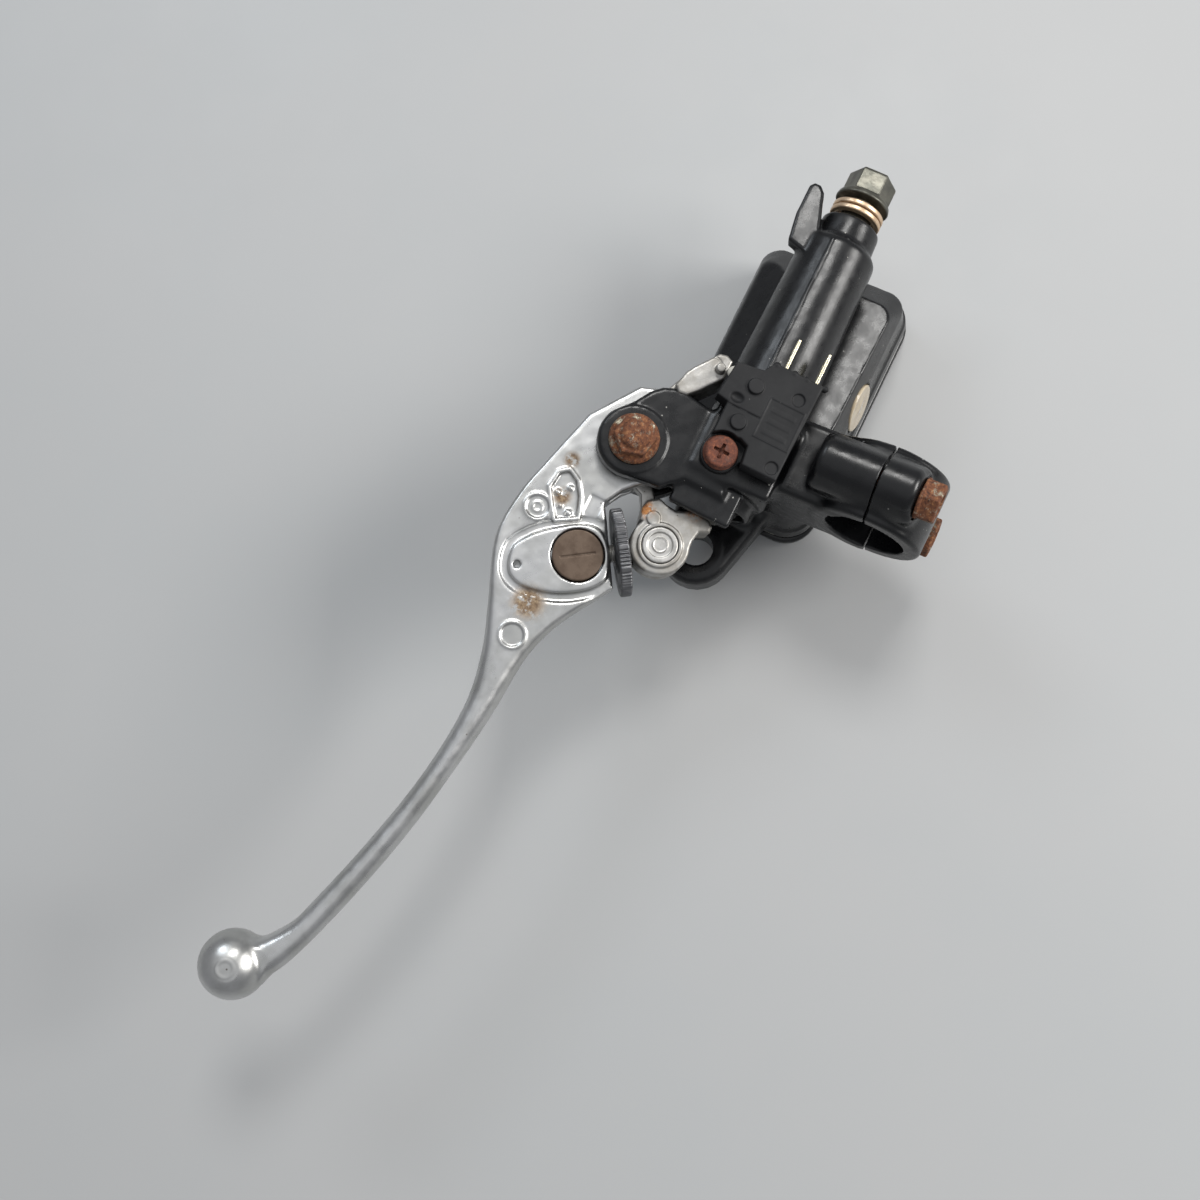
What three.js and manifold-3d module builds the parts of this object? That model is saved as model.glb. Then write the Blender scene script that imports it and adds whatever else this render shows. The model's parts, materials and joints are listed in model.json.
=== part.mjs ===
// Brake master cylinder for a 22 mm handlebar, with rectangular reservoir and span-adjustable lever.
// Millimetres, +Z up. The part lies on its reservoir lid, X runs along the cylinder towards the hose port.
import * as THREE from 'three';
import { mergeVertices } from 'three/addons/utils/BufferGeometryUtils.js';
import Module from 'manifold-3d';

const wasm = await Module();
wasm.setup();

// ---------- driving dimensions ----------
const gap = 0.3;                 // clearance left between touching pieces
const roundSegments = 28;

const axisHeight = 42.3;         // cylinder axis above the lid's outer face
const leverRoll = 11;            // degrees, lever plane against lid plane, about the cylinder axis
const clampRoll = -6;            // degrees, clamp bolts against lid plane, about the handlebar axis

const boreRadius = 6.5;          // half-inch cylinder bore
const barrelRadius = 12.3;
const barrelEndRadius = 10.9;    // the casting tapers towards the port
const barrelEnd = 79;            // x where the port collar starts
const collarRadius = 8.7;
const portFace = 84.3;           // x of the face that the hose fitting seats on
const bodyStart = -4.5;          // x of the boot end of the body
const boreEnd = 68;
const bootRecessRadius = 9;
const bootRecessDepth = 8.5;
const portRadius = 5;            // M10 hose port

const blockEnd = 22;             // x where the square block round the boot end stops
const blockHalfWidth = 11.5;
const blockTop = 12.4;

const tubStart = 4;              // reservoir rim along X
const tubEnd = 85;
const tubHalfWidth = 23.6;       // reservoir rim along Y
const tubCorner = 9;
const tubRim = 36;               // rim below the cylinder axis
const tubFloor = 8;              // outside of the reservoir floor below the cylinder axis
const tubWall = 3;
const tubFloorStart = 10;
const tubFloorEnd = 68;
const tubFloorHalfWidth = 19;
const tubInsideFloor = 15;       // inside floor below the cylinder axis

const diaphragmThickness = 1.2;
const plateThickness = 1;
const lidOverhang = 1;
const lidScrewInset = 8;
const lidScrewRadius = 2;
const lidScrewLength = 12;
const lidHeadRadius = 4;
const lidHeadDepth = 2.4;

const glassX = 45;               // sight glass in the handlebar-side wall
const glassDepth = 22;           // below the cylinder axis
const glassRadius = 7.2;
const glassThickness = 2.4;

const pivotY = 27.6;             // lever pivot from the cylinder axis
const pivotRadius = 4;
const bushRadius = 5.4;
const leverHalf = 5.6;           // half of the lever's height at the pivot
const knockerHalf = 2.5;
const earThickness = 6;
const earRadius = 10;
const nutFlangeRadius = 7.3;
const nutHex = 10;
const boltHex = 12;

const barrelX = -33.5;           // span adjuster barrel in the lever
const barrelY = pivotY - 0.3;
const adjusterRadius = 6.9;
const pinX = -21.2;              // adjuster pin in the knocker
const pinY = pivotY - 18.7;
const pinRadius = 4.8;
const knockerEyeRadius = 8.1;
const knockerEyeHalf = 6;
const hoodClear = 0.7;           // room between the knocker and the hood over it
const hoodTop = 9.9;
const dialRadius = 12.1;
const dialThickness = 3;
const dialFromPin = 10.2;
const screwRadius = 2.5;

const ballX = -167.6;
const ballY = pivotY + 32;
const ballRadius = 9;

const barY = -39.5;              // handlebar axis
const barRadius = 11.1;          // 22.2 mm handlebar
const clampStart = 5.5;
const clampWidth = 21.5;
const clampWall = 4.4;
const armTop = 9.5;              // arm between the saddle and the cylinder, above the handlebar axis
const clampSplit = 0.9;          // slit between saddle and cap
const clampBoltRadius = 3;
const clampBoltClear = 1.8;      // metal between a clamp bolt and the handlebar
const clampBoltOffset = barRadius + clampBoltClear + clampBoltRadius;
const clampBossRadius = 7;
const clampBossStart = 17;       // from the handlebar axis towards the body
const clampSeat = 10.5;          // bolt seat from the handlebar axis, on the cap
const clampHex = 10;
const clampWasherRadius = 5.6;

const mirrorX = -12.7;
const mirrorY = 2.5;
const mirrorRadius = 5;
const mirrorBossRadius = 10.5;
const mirrorTop = 21;            // below the cylinder axis
const mirrorThickness = 12;

const switchAboveEar = 0.8;
const switchHeight = 6.3;
const switchTabHeight = 2.3;
const switchBottom = leverHalf + gap + earThickness + switchAboveEar;
const switchTop = switchBottom + switchHeight;
const switchStart = 5.8;
const switchEnd = 34;
const switchHalfWidth = 10.8;
const switchScrewX = 6.1;
const switchScrewY = 5.8;
const switchTab = switchBottom + switchTabHeight;
const terminalLength = 8.5;
const plungerX = 27;
const plungerRadius = 1.7;
const plungerTip = 13.6;
const plungerHeight = switchBottom + 2.9;

const washerRadius = 7.5;
const washerThickness = 1.5;
const washerLift = 2.1;          // the loose washers stand off the port by this much
const boltLift = 1.4;            // and the loose banjo bolt stands off the washers
const banjoFlangeRadius = 8;
const banjoHex = 12;

// ---------- helpers ----------
const degrees = THREE.MathUtils.degToRad;

function solid(geometry) {
  const bare = geometry.index ? geometry.toNonIndexed() : geometry.clone();
  bare.deleteAttribute('normal');
  bare.deleteAttribute('uv');
  const merged = mergeVertices(bare, 1e-4);
  const mesh = new wasm.Mesh({
    numProp: 3,
    vertProperties: new Float32Array(merged.attributes.position.array),
    triVerts: new Uint32Array(merged.index.array),
  });
  return new wasm.Manifold(mesh);
}

function geometryOf(manifold) {
  const mesh = manifold.getMesh();
  const geometry = new THREE.BufferGeometry();
  geometry.setAttribute('position', new THREE.BufferAttribute(new Float32Array(mesh.vertProperties), 3));
  geometry.setIndex(new THREE.BufferAttribute(new Uint32Array(mesh.triVerts), 1));
  geometry.computeVertexNormals();
  return geometry;
}

function join(first, ...others) {
  return others.reduce((sum, next) => sum.add(next), first);
}

function cut(first, ...others) {
  return others.reduce((rest, next) => rest.subtract(next), first);
}

// A straight rod between two points.
function rod(radius, from, to, segments = roundSegments, endRadius = radius) {
  const start = new THREE.Vector3(...from);
  const end = new THREE.Vector3(...to);
  const geometry = new THREE.CylinderGeometry(endRadius, radius, start.distanceTo(end), segments);
  const direction = end.clone().sub(start).normalize();
  geometry.applyQuaternion(new THREE.Quaternion().setFromUnitVectors(new THREE.Vector3(0, 1, 0), direction));
  const middle = start.add(end).multiplyScalar(0.5);
  geometry.translate(middle.x, middle.y, middle.z);
  return solid(geometry);
}

function hexRod(acrossFlats, from, to) {
  return rod(acrossFlats / Math.sqrt(3), from, to, 6);
}

function box(low, high) {
  const size = high.map((value, i) => value - low[i]);
  const geometry = new THREE.BoxGeometry(...size);
  geometry.translate(...low.map((value, i) => value + size[i] / 2));
  return solid(geometry);
}

// A flat plate of the given outline between two heights.
function plate(outline, bottom, top) {
  const shape = outline instanceof THREE.Shape ? outline : new THREE.Shape(outline);
  const settings = { depth: top - bottom, bevelEnabled: false, curveSegments: 10 };
  const geometry = new THREE.ExtrudeGeometry(shape, settings);
  geometry.translate(0, 0, bottom);
  return solid(geometry);
}

// A body of revolution about X from (x, radius) points that close on themselves or start and end on the axis.
function turned(profile, segments = roundSegments) {
  const points = profile.map(([x, radius]) => new THREE.Vector2(radius, x));
  const geometry = new THREE.LatheGeometry(points, segments);
  geometry.rotateZ(-Math.PI / 2);
  const result = solid(geometry);
  return result.volume() < 0 ? solid(flipped(geometry)) : result;
}

function flipped(geometry) {
  const copy = geometry.toNonIndexed();
  const positions = copy.attributes.position;
  for (let i = 0; i < positions.count; i += 3) {
    const held = [positions.getX(i), positions.getY(i), positions.getZ(i)];
    positions.setXYZ(i, positions.getX(i + 1), positions.getY(i + 1), positions.getZ(i + 1));
    positions.setXYZ(i + 1, ...held);
  }
  return copy;
}

function roundedRectangle(x0, y0, x1, y1, radius) {
  const corners = [[x1, y1, 0], [x0, y1, 90], [x0, y0, 180], [x1, y0, 270]];
  const points = [];
  for (const [x, y, start] of corners) {
    const centreX = x === x1 ? x - radius : x + radius;
    const centreY = y === y1 ? y - radius : y + radius;
    for (let step = 0; step <= 5; step += 1) {
      const angle = degrees(start + step * 18);
      points.push(new THREE.Vector2(centreX + radius * Math.cos(angle), centreY + radius * Math.sin(angle)));
    }
  }
  return points;
}

// A solid skinned over stacked outlines that all have the same number of points.
function loft(sections) {
  const count = sections[0].outline.length;
  const positions = [];
  for (const { outline, height } of sections) {
    outline.forEach((point) => positions.push(point.x, point.y, height));
  }
  const faces = [];
  for (let level = 0; level + 1 < sections.length; level += 1) {
    for (let i = 0; i < count; i += 1) {
      const a = level * count + i;
      const b = level * count + ((i + 1) % count);
      faces.push(a, b, b + count, a, b + count, a + count);
    }
  }
  const capFaces = THREE.ShapeUtils.triangulateShape(sections[0].outline, []);
  const topStart = (sections.length - 1) * count;
  for (const [a, b, c] of capFaces) {
    faces.push(c, b, a, topStart + a, topStart + b, topStart + c);
  }
  const geometry = new THREE.BufferGeometry();
  geometry.setAttribute('position', new THREE.Float32BufferAttribute(positions, 3));
  geometry.setIndex(faces);
  return solid(geometry);
}

function rolled(manifold, angle) {
  return manifold.rotate([angle, 0, 0]);
}

// A convex outline round two discs, for arms and bosses.
function linkOutline([x0, y0, r0], [x1, y1, r1]) {
  const heading = Math.atan2(y1 - y0, x1 - x0);
  const distance = Math.hypot(x1 - x0, y1 - y0);
  const spread = Math.acos((r0 - r1) / distance);
  const shape = new THREE.Shape();
  shape.absarc(x1, y1, r1, heading - spread, heading + spread, false);
  shape.absarc(x0, y0, r0, heading + spread, heading - spread + Math.PI * 2, false);
  return shape;
}

// ---------- master body ----------
function tubOutline(inset, share) {
  const mix = THREE.MathUtils.lerp;
  return roundedRectangle(
    mix(tubStart, tubFloorStart, share) + inset,
    -mix(tubHalfWidth, tubFloorHalfWidth, share) + inset,
    mix(tubEnd, tubFloorEnd, share) - inset,
    mix(tubHalfWidth, tubFloorHalfWidth, share) - inset,
    tubCorner - inset,
  );
}

function tub() {
  const shoulder = 0.3;
  const shoulderDepth = THREE.MathUtils.lerp(tubFloor, tubRim, 0.4);
  return loft([
    { outline: tubOutline(0, 0), height: -tubRim },
    { outline: tubOutline(0, shoulder), height: -shoulderDepth },
    { outline: tubOutline(0, 1), height: -tubFloor },
  ]);
}

function tubHollow() {
  const share = 0.45;
  const lowered = 1;
  return loft([
    { outline: tubOutline(tubWall, 0), height: -tubRim - lowered },
    { outline: tubOutline(tubWall, share), height: -tubInsideFloor },
  ]);
}

function lidScrewPlaces() {
  return [
    [tubStart + lidScrewInset, tubHalfWidth - lidScrewInset],
    [tubEnd - lidScrewInset, -tubHalfWidth + lidScrewInset],
  ];
}

function earOutline() {
  const shape = new THREE.Shape();
  shape.moveTo(17, 0);
  shape.lineTo(17.5, 13);
  shape.lineTo(19, pivotY - 5.1);
  shape.lineTo(16, pivotY + 0.9);
  shape.lineTo(earRadius * Math.cos(degrees(62)), pivotY + earRadius * Math.sin(degrees(62)));
  shape.absarc(0, pivotY, earRadius, degrees(62), degrees(196), false);
  shape.lineTo(-7.5, pivotY - 13.1);
  shape.lineTo(bodyStart + 1, blockHalfWidth - 0.5);
  shape.lineTo(bodyStart + 1, 0);
  return shape;
}

function ears() {
  const inner = leverHalf + gap;
  const outer = inner + earThickness;
  const pair = join(plate(earOutline(), inner, outer), plate(earOutline(), -outer, -inner));
  return rolled(pair, leverRoll);
}

function cylinderBarrel() {
  const shoulder = 2;
  return join(
    rod(barrelRadius, [bodyStart, 0, 0], [blockEnd, 0, 0], 40),
    rod(barrelRadius, [blockEnd - 1, 0, 0], [barrelEnd - shoulder, 0, 0], 40, barrelEndRadius),
    rod(barrelEndRadius, [barrelEnd - shoulder, 0, 0], [barrelEnd, 0, 0], 40, collarRadius),
    rod(collarRadius, [barrelEnd - 1, 0, 0], [portFace, 0, 0], 40),
  );
}

function bootBlock() {
  const low = [bodyStart + 5, -blockHalfWidth, -blockTop];
  const high = [blockEnd, blockHalfWidth, blockTop];
  return rolled(box(low, high), leverRoll);
}

// Lip of the body over the knocker, in front of the boot.
function knockerHood() {
  const low = [bodyStart - 5.3, -5, knockerEyeHalf + hoodClear];
  const high = [bodyStart + 6, 12.4, hoodTop];
  return rolled(box(low, high), leverRoll);
}

function clampCylinder(radius, start, end) {
  return rod(radius, [start, 0, 0], [end, 0, 0], 40);
}

function clampBosses() {
  const x = clampStart + clampWidth / 2;
  return [1, -1].map((side) => {
    const z = side * clampBoltOffset;
    return rod(clampBossRadius, [x, -clampSeat, z], [x, clampBossStart, z]);
  });
}

function clampBlank() {
  const outer = barRadius + clampWall;
  const end = clampStart + clampWidth;
  const arm = box([clampStart, 0, -outer], [end, -barY - 6, armTop]);
  const saddle = clampCylinder(outer, clampStart, end);
  const x0 = clampStart + clampWidth / 2 - clampBossRadius;
  const web = box([x0, -clampSeat, -clampBoltOffset], [x0 + clampBossRadius * 2, clampBossStart, clampBoltOffset]);
  return join(saddle, arm, web, ...clampBosses());
}

function clampHoles() {
  const x = clampStart + clampWidth / 2;
  const reach = 60;
  const bar = clampCylinder(barRadius, -reach, reach);
  const bolts = [1, -1].map((side) => {
    const z = side * clampBoltOffset;
    return rod(clampBoltRadius + gap, [x, -reach, z], [x, clampBossStart - 3, z], 16);
  });
  return [bar, ...bolts];
}

function placedInClamp(manifold) {
  return rolled(manifold, clampRoll).translate([0, barY, 0]);
}

function saddle() {
  const bodySide = box([-60, clampSplit / 2, -60], [60, 60, 60]);
  return placedInClamp(cut(clampBlank().intersect(bodySide), ...clampHoles()));
}

function clampCapSolid() {
  const capSide = box([-60, -60, -60], [60, -clampSplit / 2, 60]);
  const x = clampStart + clampWidth / 2;
  const seats = [1, -1].map((side) => {
    const z = side * clampBoltOffset;
    return rod(clampWasherRadius + 0.6, [x, -60, z], [x, -clampSeat, z]);
  });
  return cut(clampBlank().intersect(capSide), ...clampHoles(), ...seats);
}

function mirrorArm() {
  const bottom = -mirrorTop - mirrorThickness;
  const outline = linkOutline([tubStart + 8, 0, 14], [mirrorX, mirrorY, mirrorBossRadius]);
  return plate(outline, bottom, -mirrorTop);
}

function mirrorArmRib() {
  return box([bodyStart + 4, -8, -mirrorTop - 4], [tubStart + 8, 8, 0]);
}

// Prong beside the port that keeps the hose fitting from turning.
function hoseStop() {
  const tip = portFace + 4.9;
  const shoulder = portFace - 0.4;
  const outer = barrelRadius + 2.2;
  const outline = new THREE.Shape();
  outline.moveTo(barrelEnd - 10, barrelRadius / 2);
  outline.lineTo(portFace - 4.3, 7.6);
  outline.lineTo(shoulder, collarRadius - 0.3);
  outline.lineTo(shoulder, collarRadius + 0.7);
  outline.quadraticCurveTo(tip, collarRadius + 2.4, tip, outer - 1);
  outline.lineTo(tip - 1.4, outer);
  outline.lineTo(barrelEnd - 9, outer);
  return plate(outline, 4, 8.5);
}

function sightGlassAxis() {
  const lean = Math.atan((tubHalfWidth - tubFloorHalfWidth) / (tubRim - tubFloor));
  const share = (tubRim - glassDepth) / (tubRim - tubFloor);
  const y = -THREE.MathUtils.lerp(tubHalfWidth, tubFloorHalfWidth, share);
  return { lean, centre: [glassX, y, -glassDepth] };
}

// A rod on the sight glass axis, between two distances outwards from the wall's face.
function glassRod(radius, from, to) {
  const { lean, centre } = sightGlassAxis();
  const [x, y, z] = centre;
  const at = (distance) => [x, y - distance * Math.cos(lean), z + distance * Math.sin(lean)];
  return rod(radius, at(from), at(to));
}

// The room inside the reservoir, round the cylinder, the screw posts and the sight glass seat.
function reservoirRoom() {
  const posts = lidScrewPlaces().map(([x, y]) => rod(4.6, [x, y, -60], [x, y, 0]));
  const glassSeat = glassRod(glassRadius + 2, -tubWall - 0.6, 1);
  return cut(tubHollow(), glassSeat, ...posts);
}

function masterBody() {
  const innerStart = bodyStart + bootRecessDepth;
  const outside = join(
    tub(), cylinderBarrel(), bootBlock(), knockerHood(), ears(), saddle(), mirrorArm(), mirrorArmRib(), hoseStop(),
  );
  const solids = cut(outside, reservoirRoom());
  const pivotHole = rod(pivotRadius + gap, [0, pivotY, -60], [0, pivotY, 60], 20);
  const switchHole = rod(2.2, [switchScrewX, switchScrewY, 4], [switchScrewX, switchScrewY, 30], 12);
  const screwHoles = lidScrewPlaces().map(([x, y]) => {
    return rod(lidScrewRadius + gap, [x, y, -60], [x, y, -tubRim + lidScrewLength], 12);
  });
  return cut(
    solids,
    rod(boreRadius, [bodyStart - 1, 0, 0], [boreEnd, 0, 0], 32),
    rod(bootRecessRadius, [bodyStart - 1, 0, 0], [innerStart, 0, 0], 32),
    rod(portRadius + gap, [boreEnd - 1, 0, 0], [portFace + 1, 0, 0], 24),
    rod(1.2, [58, 0, -30], [58, 0, 0], 10),
    rod(0.8, [41, 0, -30], [41, 0, 0], 10),
    rod(mirrorRadius, [mirrorX, mirrorY, -60], [mirrorX, mirrorY, -mirrorTop + 5], 24),
    rolled(join(pivotHole, switchHole), leverRoll),
    glassRod(glassRadius + gap, -glassThickness - 2, 3),
    glassRod(glassRadius - 1.6, -12, 3),
    ...screwHoles,
  );
}

// ---------- reservoir closure ----------
function lidLevels() {
  const diaphragmTop = -tubRim - gap;
  const plateTop = diaphragmTop - diaphragmThickness - gap;
  const lidTop = plateTop - plateThickness - gap;
  return { diaphragmTop, plateTop, lidTop };
}

function lidScrewCuts(radius) {
  return lidScrewPlaces().map(([x, y]) => rod(radius, [x, y, -60], [x, y, 0], 16));
}

function reservoirLid() {
  const { lidTop } = lidLevels();
  const edge = 1.2;
  const slab = loft([
    { outline: tubOutline(-lidOverhang + edge, 0), height: -axisHeight },
    { outline: tubOutline(-lidOverhang, 0), height: -axisHeight + edge },
    { outline: tubOutline(-lidOverhang, 0), height: lidTop },
  ]);
  const heads = lidScrewPlaces().map(([x, y]) => {
    return rod(lidHeadRadius + gap, [x, y, -60], [x, y, -axisHeight + lidHeadDepth + gap]);
  });
  return cut(slab, ...lidScrewCuts(lidScrewRadius + gap), ...heads);
}

function diaphragmPlate() {
  const { plateTop } = lidLevels();
  const slab = plate(tubOutline(0.2, 0), plateTop - plateThickness, plateTop);
  const vent = rod(1.5, [45, 0, -60], [45, 0, 0], 12);
  return cut(slab, vent, ...lidScrewCuts(lidScrewRadius + gap));
}

function diaphragm() {
  const { diaphragmTop } = lidLevels();
  const clear = tubWall + 0.9;
  const depth = 6;
  const screwRoom = 6.2;
  const taper = 0.2;
  const cupTop = diaphragmTop + depth;
  const flange = plate(tubOutline(0.2, 0), diaphragmTop - diaphragmThickness, diaphragmTop);
  const cup = loft([
    { outline: tubOutline(clear, 0), height: diaphragmTop - 0.2 },
    { outline: tubOutline(clear, taper), height: cupTop },
  ]);
  const hollow = loft([
    { outline: tubOutline(clear + diaphragmThickness, 0), height: diaphragmTop - diaphragmThickness - 1 },
    { outline: tubOutline(clear + diaphragmThickness, taper), height: cupTop - diaphragmThickness },
  ]);
  const corners = lidScrewPlaces().map(([x, y]) => rod(screwRoom, [x, y, diaphragmTop], [x, y, 0]));
  const thickCorners = lidScrewPlaces().map(([x, y]) => rod(screwRoom + diaphragmThickness, [x, y, -60], [x, y, 0]));
  const outside = join(flange, cut(cup, ...corners));
  return cut(outside, cut(hollow, ...thickCorners), ...lidScrewCuts(lidScrewRadius + gap));
}

function lidScrew([x, y]) {
  const face = -axisHeight + 0.2;
  const underHead = -axisHeight + lidHeadDepth;
  const head = rod(lidHeadRadius, [x, y, face], [x, y, underHead]);
  const shank = rod(lidScrewRadius, [x, y, underHead - 0.5], [x, y, -tubRim + lidScrewLength - 1], 14);
  const slotHalf = 0.5;
  const reach = 2.2;
  const slotTop = face + 1.3;
  const slots = [
    box([x - reach, y - slotHalf, face - 1], [x + reach, y + slotHalf, slotTop]),
    box([x - slotHalf, y - reach, face - 1], [x + slotHalf, y + reach, slotTop]),
  ];
  return cut(join(head, shank), ...slots);
}

function sightGlass() {
  return glassRod(glassRadius, -glassThickness, 0.3);
}

function sightGlassSeal() {
  const front = -glassThickness - gap;
  return cut(glassRod(glassRadius, front - 1, front), glassRod(glassRadius - 1.3, -12, 3));
}

function reservoirBaffle() {
  const floor = -tubInsideFloor - gap;
  const sheet = box([36, -7, floor - 0.8], [63, 7, floor]);
  const foldX = 62.2;
  const fold = box([foldX, -7, floor - 5], [foldX + 0.8, 7, floor]);
  return cut(join(sheet, fold), rod(1.5, [50, 0, -60], [50, 0, 0], 12));
}

// ---------- hydraulics ----------
function piston() {
  const land = boreRadius - gap;
  return turned([
    [-8.4, 0], [-8.4, 2.6], [-7.2, 4], [4, 4], [4, land], [9.5, land], [9.5, 4.2],
    [13.5, 4.2], [13.5, land], [18, land], [18, 4.8], [31, 4.8], [31, land], [33, land],
    [33, 3.6], [36.5, 3.6], [36.5, 4.4], [38, 4.4], [38, 0],
  ]);
}

function cup(start, end, inside) {
  const outside = boreRadius - 0.15;
  return turned([
    [start, inside], [end, inside], [end, inside + 0.9], [end - 1.6, inside + 1.1],
    [end - 0.2, outside - 0.5], [end, outside], [start + 0.8, outside - 0.1], [start, outside - 0.6], [start, inside],
  ]);
}

function springWire(start, end, turns, coilRadius, wireRadius) {
  class Helix extends THREE.Curve {
    getPoint(t) {
      const angle = t * turns * Math.PI * 2;
      return new THREE.Vector3(
        start + t * (end - start), coilRadius * Math.cos(angle), coilRadius * Math.sin(angle),
      );
    }
  }
  const section = new THREE.Shape();
  section.absarc(0, 0, wireRadius, 0, Math.PI * 2, false);
  const settings = { steps: turns * 12, extrudePath: new Helix(), bevelEnabled: false, curveSegments: 4 };
  return new THREE.ExtrudeGeometry(section, settings);
}

function returnSpring() {
  const wire = 0.6;
  return springWire(38.9 + wire, boreEnd - 0.5 - wire, 7, boreRadius - 0.9 - wire, wire);
}

function circlip() {
  const front = bodyStart + 4.2;
  const ring = turned([[front, 6.6], [front, 8.6], [front + 1.1, 8.6], [front + 1.1, 6.6], [front, 6.6]]);
  return cut(ring, box([front - 1, 0, -1.8], [front + 3, 20, 1.8]));
}

function pistonWasher() {
  const front = bodyStart + 4.2 + 1.1 + gap;
  return turned([[front, 4.4], [front, 8.6], [front + 1, 8.6], [front + 1, 4.4], [front, 4.4]]);
}

function dustBoot() {
  const back = bodyStart + 4.2 - gap;
  const front = bodyStart - 2;
  return turned([
    [back, 5.2], [back, 8.6], [back - 2.2, 8.6], [back - 2.2, 7.2], [front, 6.2],
    [front, 4.4], [front + 1.1, 4.4], [front + 1.3, 5.2], [back, 5.2],
  ]);
}

function banjoSeat() {
  return portFace + washerLift;
}

function crushWasher(order) {
  const start = banjoSeat() + order * (washerThickness + gap);
  const end = start + washerThickness;
  return turned([[start, 5.3], [start, washerRadius], [end, washerRadius], [end, 5.3], [start, 5.3]]);
}

function banjoBolt() {
  const seat = banjoSeat() + 2 * (washerThickness + gap) + boltLift;
  const flange = rod(banjoFlangeRadius, [seat, 0, 0], [seat + 1.8, 0, 0]);
  const head = hexRod(banjoHex, [seat + 1.7, 0, 0], [seat + 9, 0, 0]);
  const shank = rod(portRadius - 0.2, [seat - 19, 0, 0], [seat + 0.1, 0, 0], 24);
  const channel = rod(1.6, [seat - 20, 0, 0], [seat - 3, 0, 0], 12);
  const crossHole = rod(1.3, [seat - 5, 0, -10], [seat - 5, 0, 10], 12);
  return cut(join(flange, head, shank), channel, crossHole);
}

// ---------- lever group, in the lever plane ----------
function splinePoints(points, divisions) {
  return new THREE.SplineCurve(points.map(([x, y]) => new THREE.Vector2(x, y))).getPoints(divisions);
}

// Points on the blade, given as shares of the way from the adjuster barrel to the ball.
function bladePoints(points) {
  return points.map(([share, y]) => [THREE.MathUtils.lerp(barrelX, ballX, share), y]);
}

// The outline is drawn from the pivot.
function leverOutline() {
  const front = splinePoints([
    [2.6, 14], [-13.5, 18.4], [-25, 21.2], [-38.5, 21.6], ...bladePoints([
      [0.168, 15], [0.257, 10.9], [0.369, 8.7], [0.526, 10.7], [0.69, 15.6], [0.824, 20.7], [0.884, 23.6],
    ]), [ballX + 7, ballY - pivotY - 2],
  ], 40);
  const rear = splinePoints([
    [ballX, ballY - pivotY - 8.4], ...bladePoints([
      [0.955, 19.8], [0.873, 15.7], [0.755, 11], [0.63, 6.9], [0.515, 4.2], [0.362, 1.3], [0.242, 0.3], [0.175, -1.8],
    ]), [-48.7, -5.6], [-37, -12.6],
  ], 30);
  const hub = [[-21.6, -3.2], [-17.6, -0.6], [-9.5, -6.1], [-7, -9.1], [7, -9.4], [13, -7.6], [17.4, 0], [15.6, 5]];
  const points = [...front, ...rear, ...hub.map(([x, y]) => new THREE.Vector2(x, y))];
  points.forEach((point) => point.setY(point.y + pivotY));
  return new THREE.Shape(points);
}

function adjusterDirection() {
  return new THREE.Vector2(pinX - barrelX, pinY - barrelY).normalize();
}

function alongAdjuster(distanceFromPin) {
  const direction = adjusterDirection();
  return [pinX - direction.x * distanceFromPin, pinY - direction.y * distanceFromPin, 0];
}

function leverBlade() {
  const blank = plate(leverOutline(), -leverHalf, leverHalf);
  const ball = new THREE.SphereGeometry(ballRadius, 24, 14);
  ball.scale(1, 1, 0.95);
  ball.translate(ballX, ballY, 0);
  const hubSlot = rod(16, [0, pivotY, -knockerHalf - gap], [0, pivotY, knockerHalf + gap]);
  const openSlot = box([-13, 10, -knockerHalf - gap], [30, 60, knockerHalf + gap]);
  return cut(
    join(blank, solid(ball)),
    hubSlot,
    openSlot,
    rod(bushRadius + gap, [0, pivotY, -20], [0, pivotY, 20], 24),
    rod(adjusterRadius + gap, [barrelX, barrelY, -20], [barrelX, barrelY, 20]),
    rod(screwRadius + 1, [barrelX, barrelY, 0], alongAdjuster(0), 16),
  );
}

function knockerOutline() {
  const shape = new THREE.Shape();
  shape.moveTo(8, pivotY - 1.5);
  shape.absarc(0, pivotY, 8, degrees(-10), degrees(190), false);
  shape.lineTo(-10.5, pivotY - 8.1);
  shape.lineTo(-14.5, pivotY - 10.2);
  shape.absarc(pinX, pinY, knockerEyeRadius, degrees(52), degrees(285), false);
  shape.lineTo(-14, 0);
  shape.absarc(-12.5, 0, 3.6, degrees(-100), degrees(20), false);
  shape.lineTo(-11.3, 9);
  shape.lineTo(-11, pivotY - 13.1);
  shape.lineTo(-5.5, pivotY - 8.6);
  shape.absarc(0, pivotY, 9, degrees(-122), degrees(-62), false);
  return shape;
}

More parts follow.
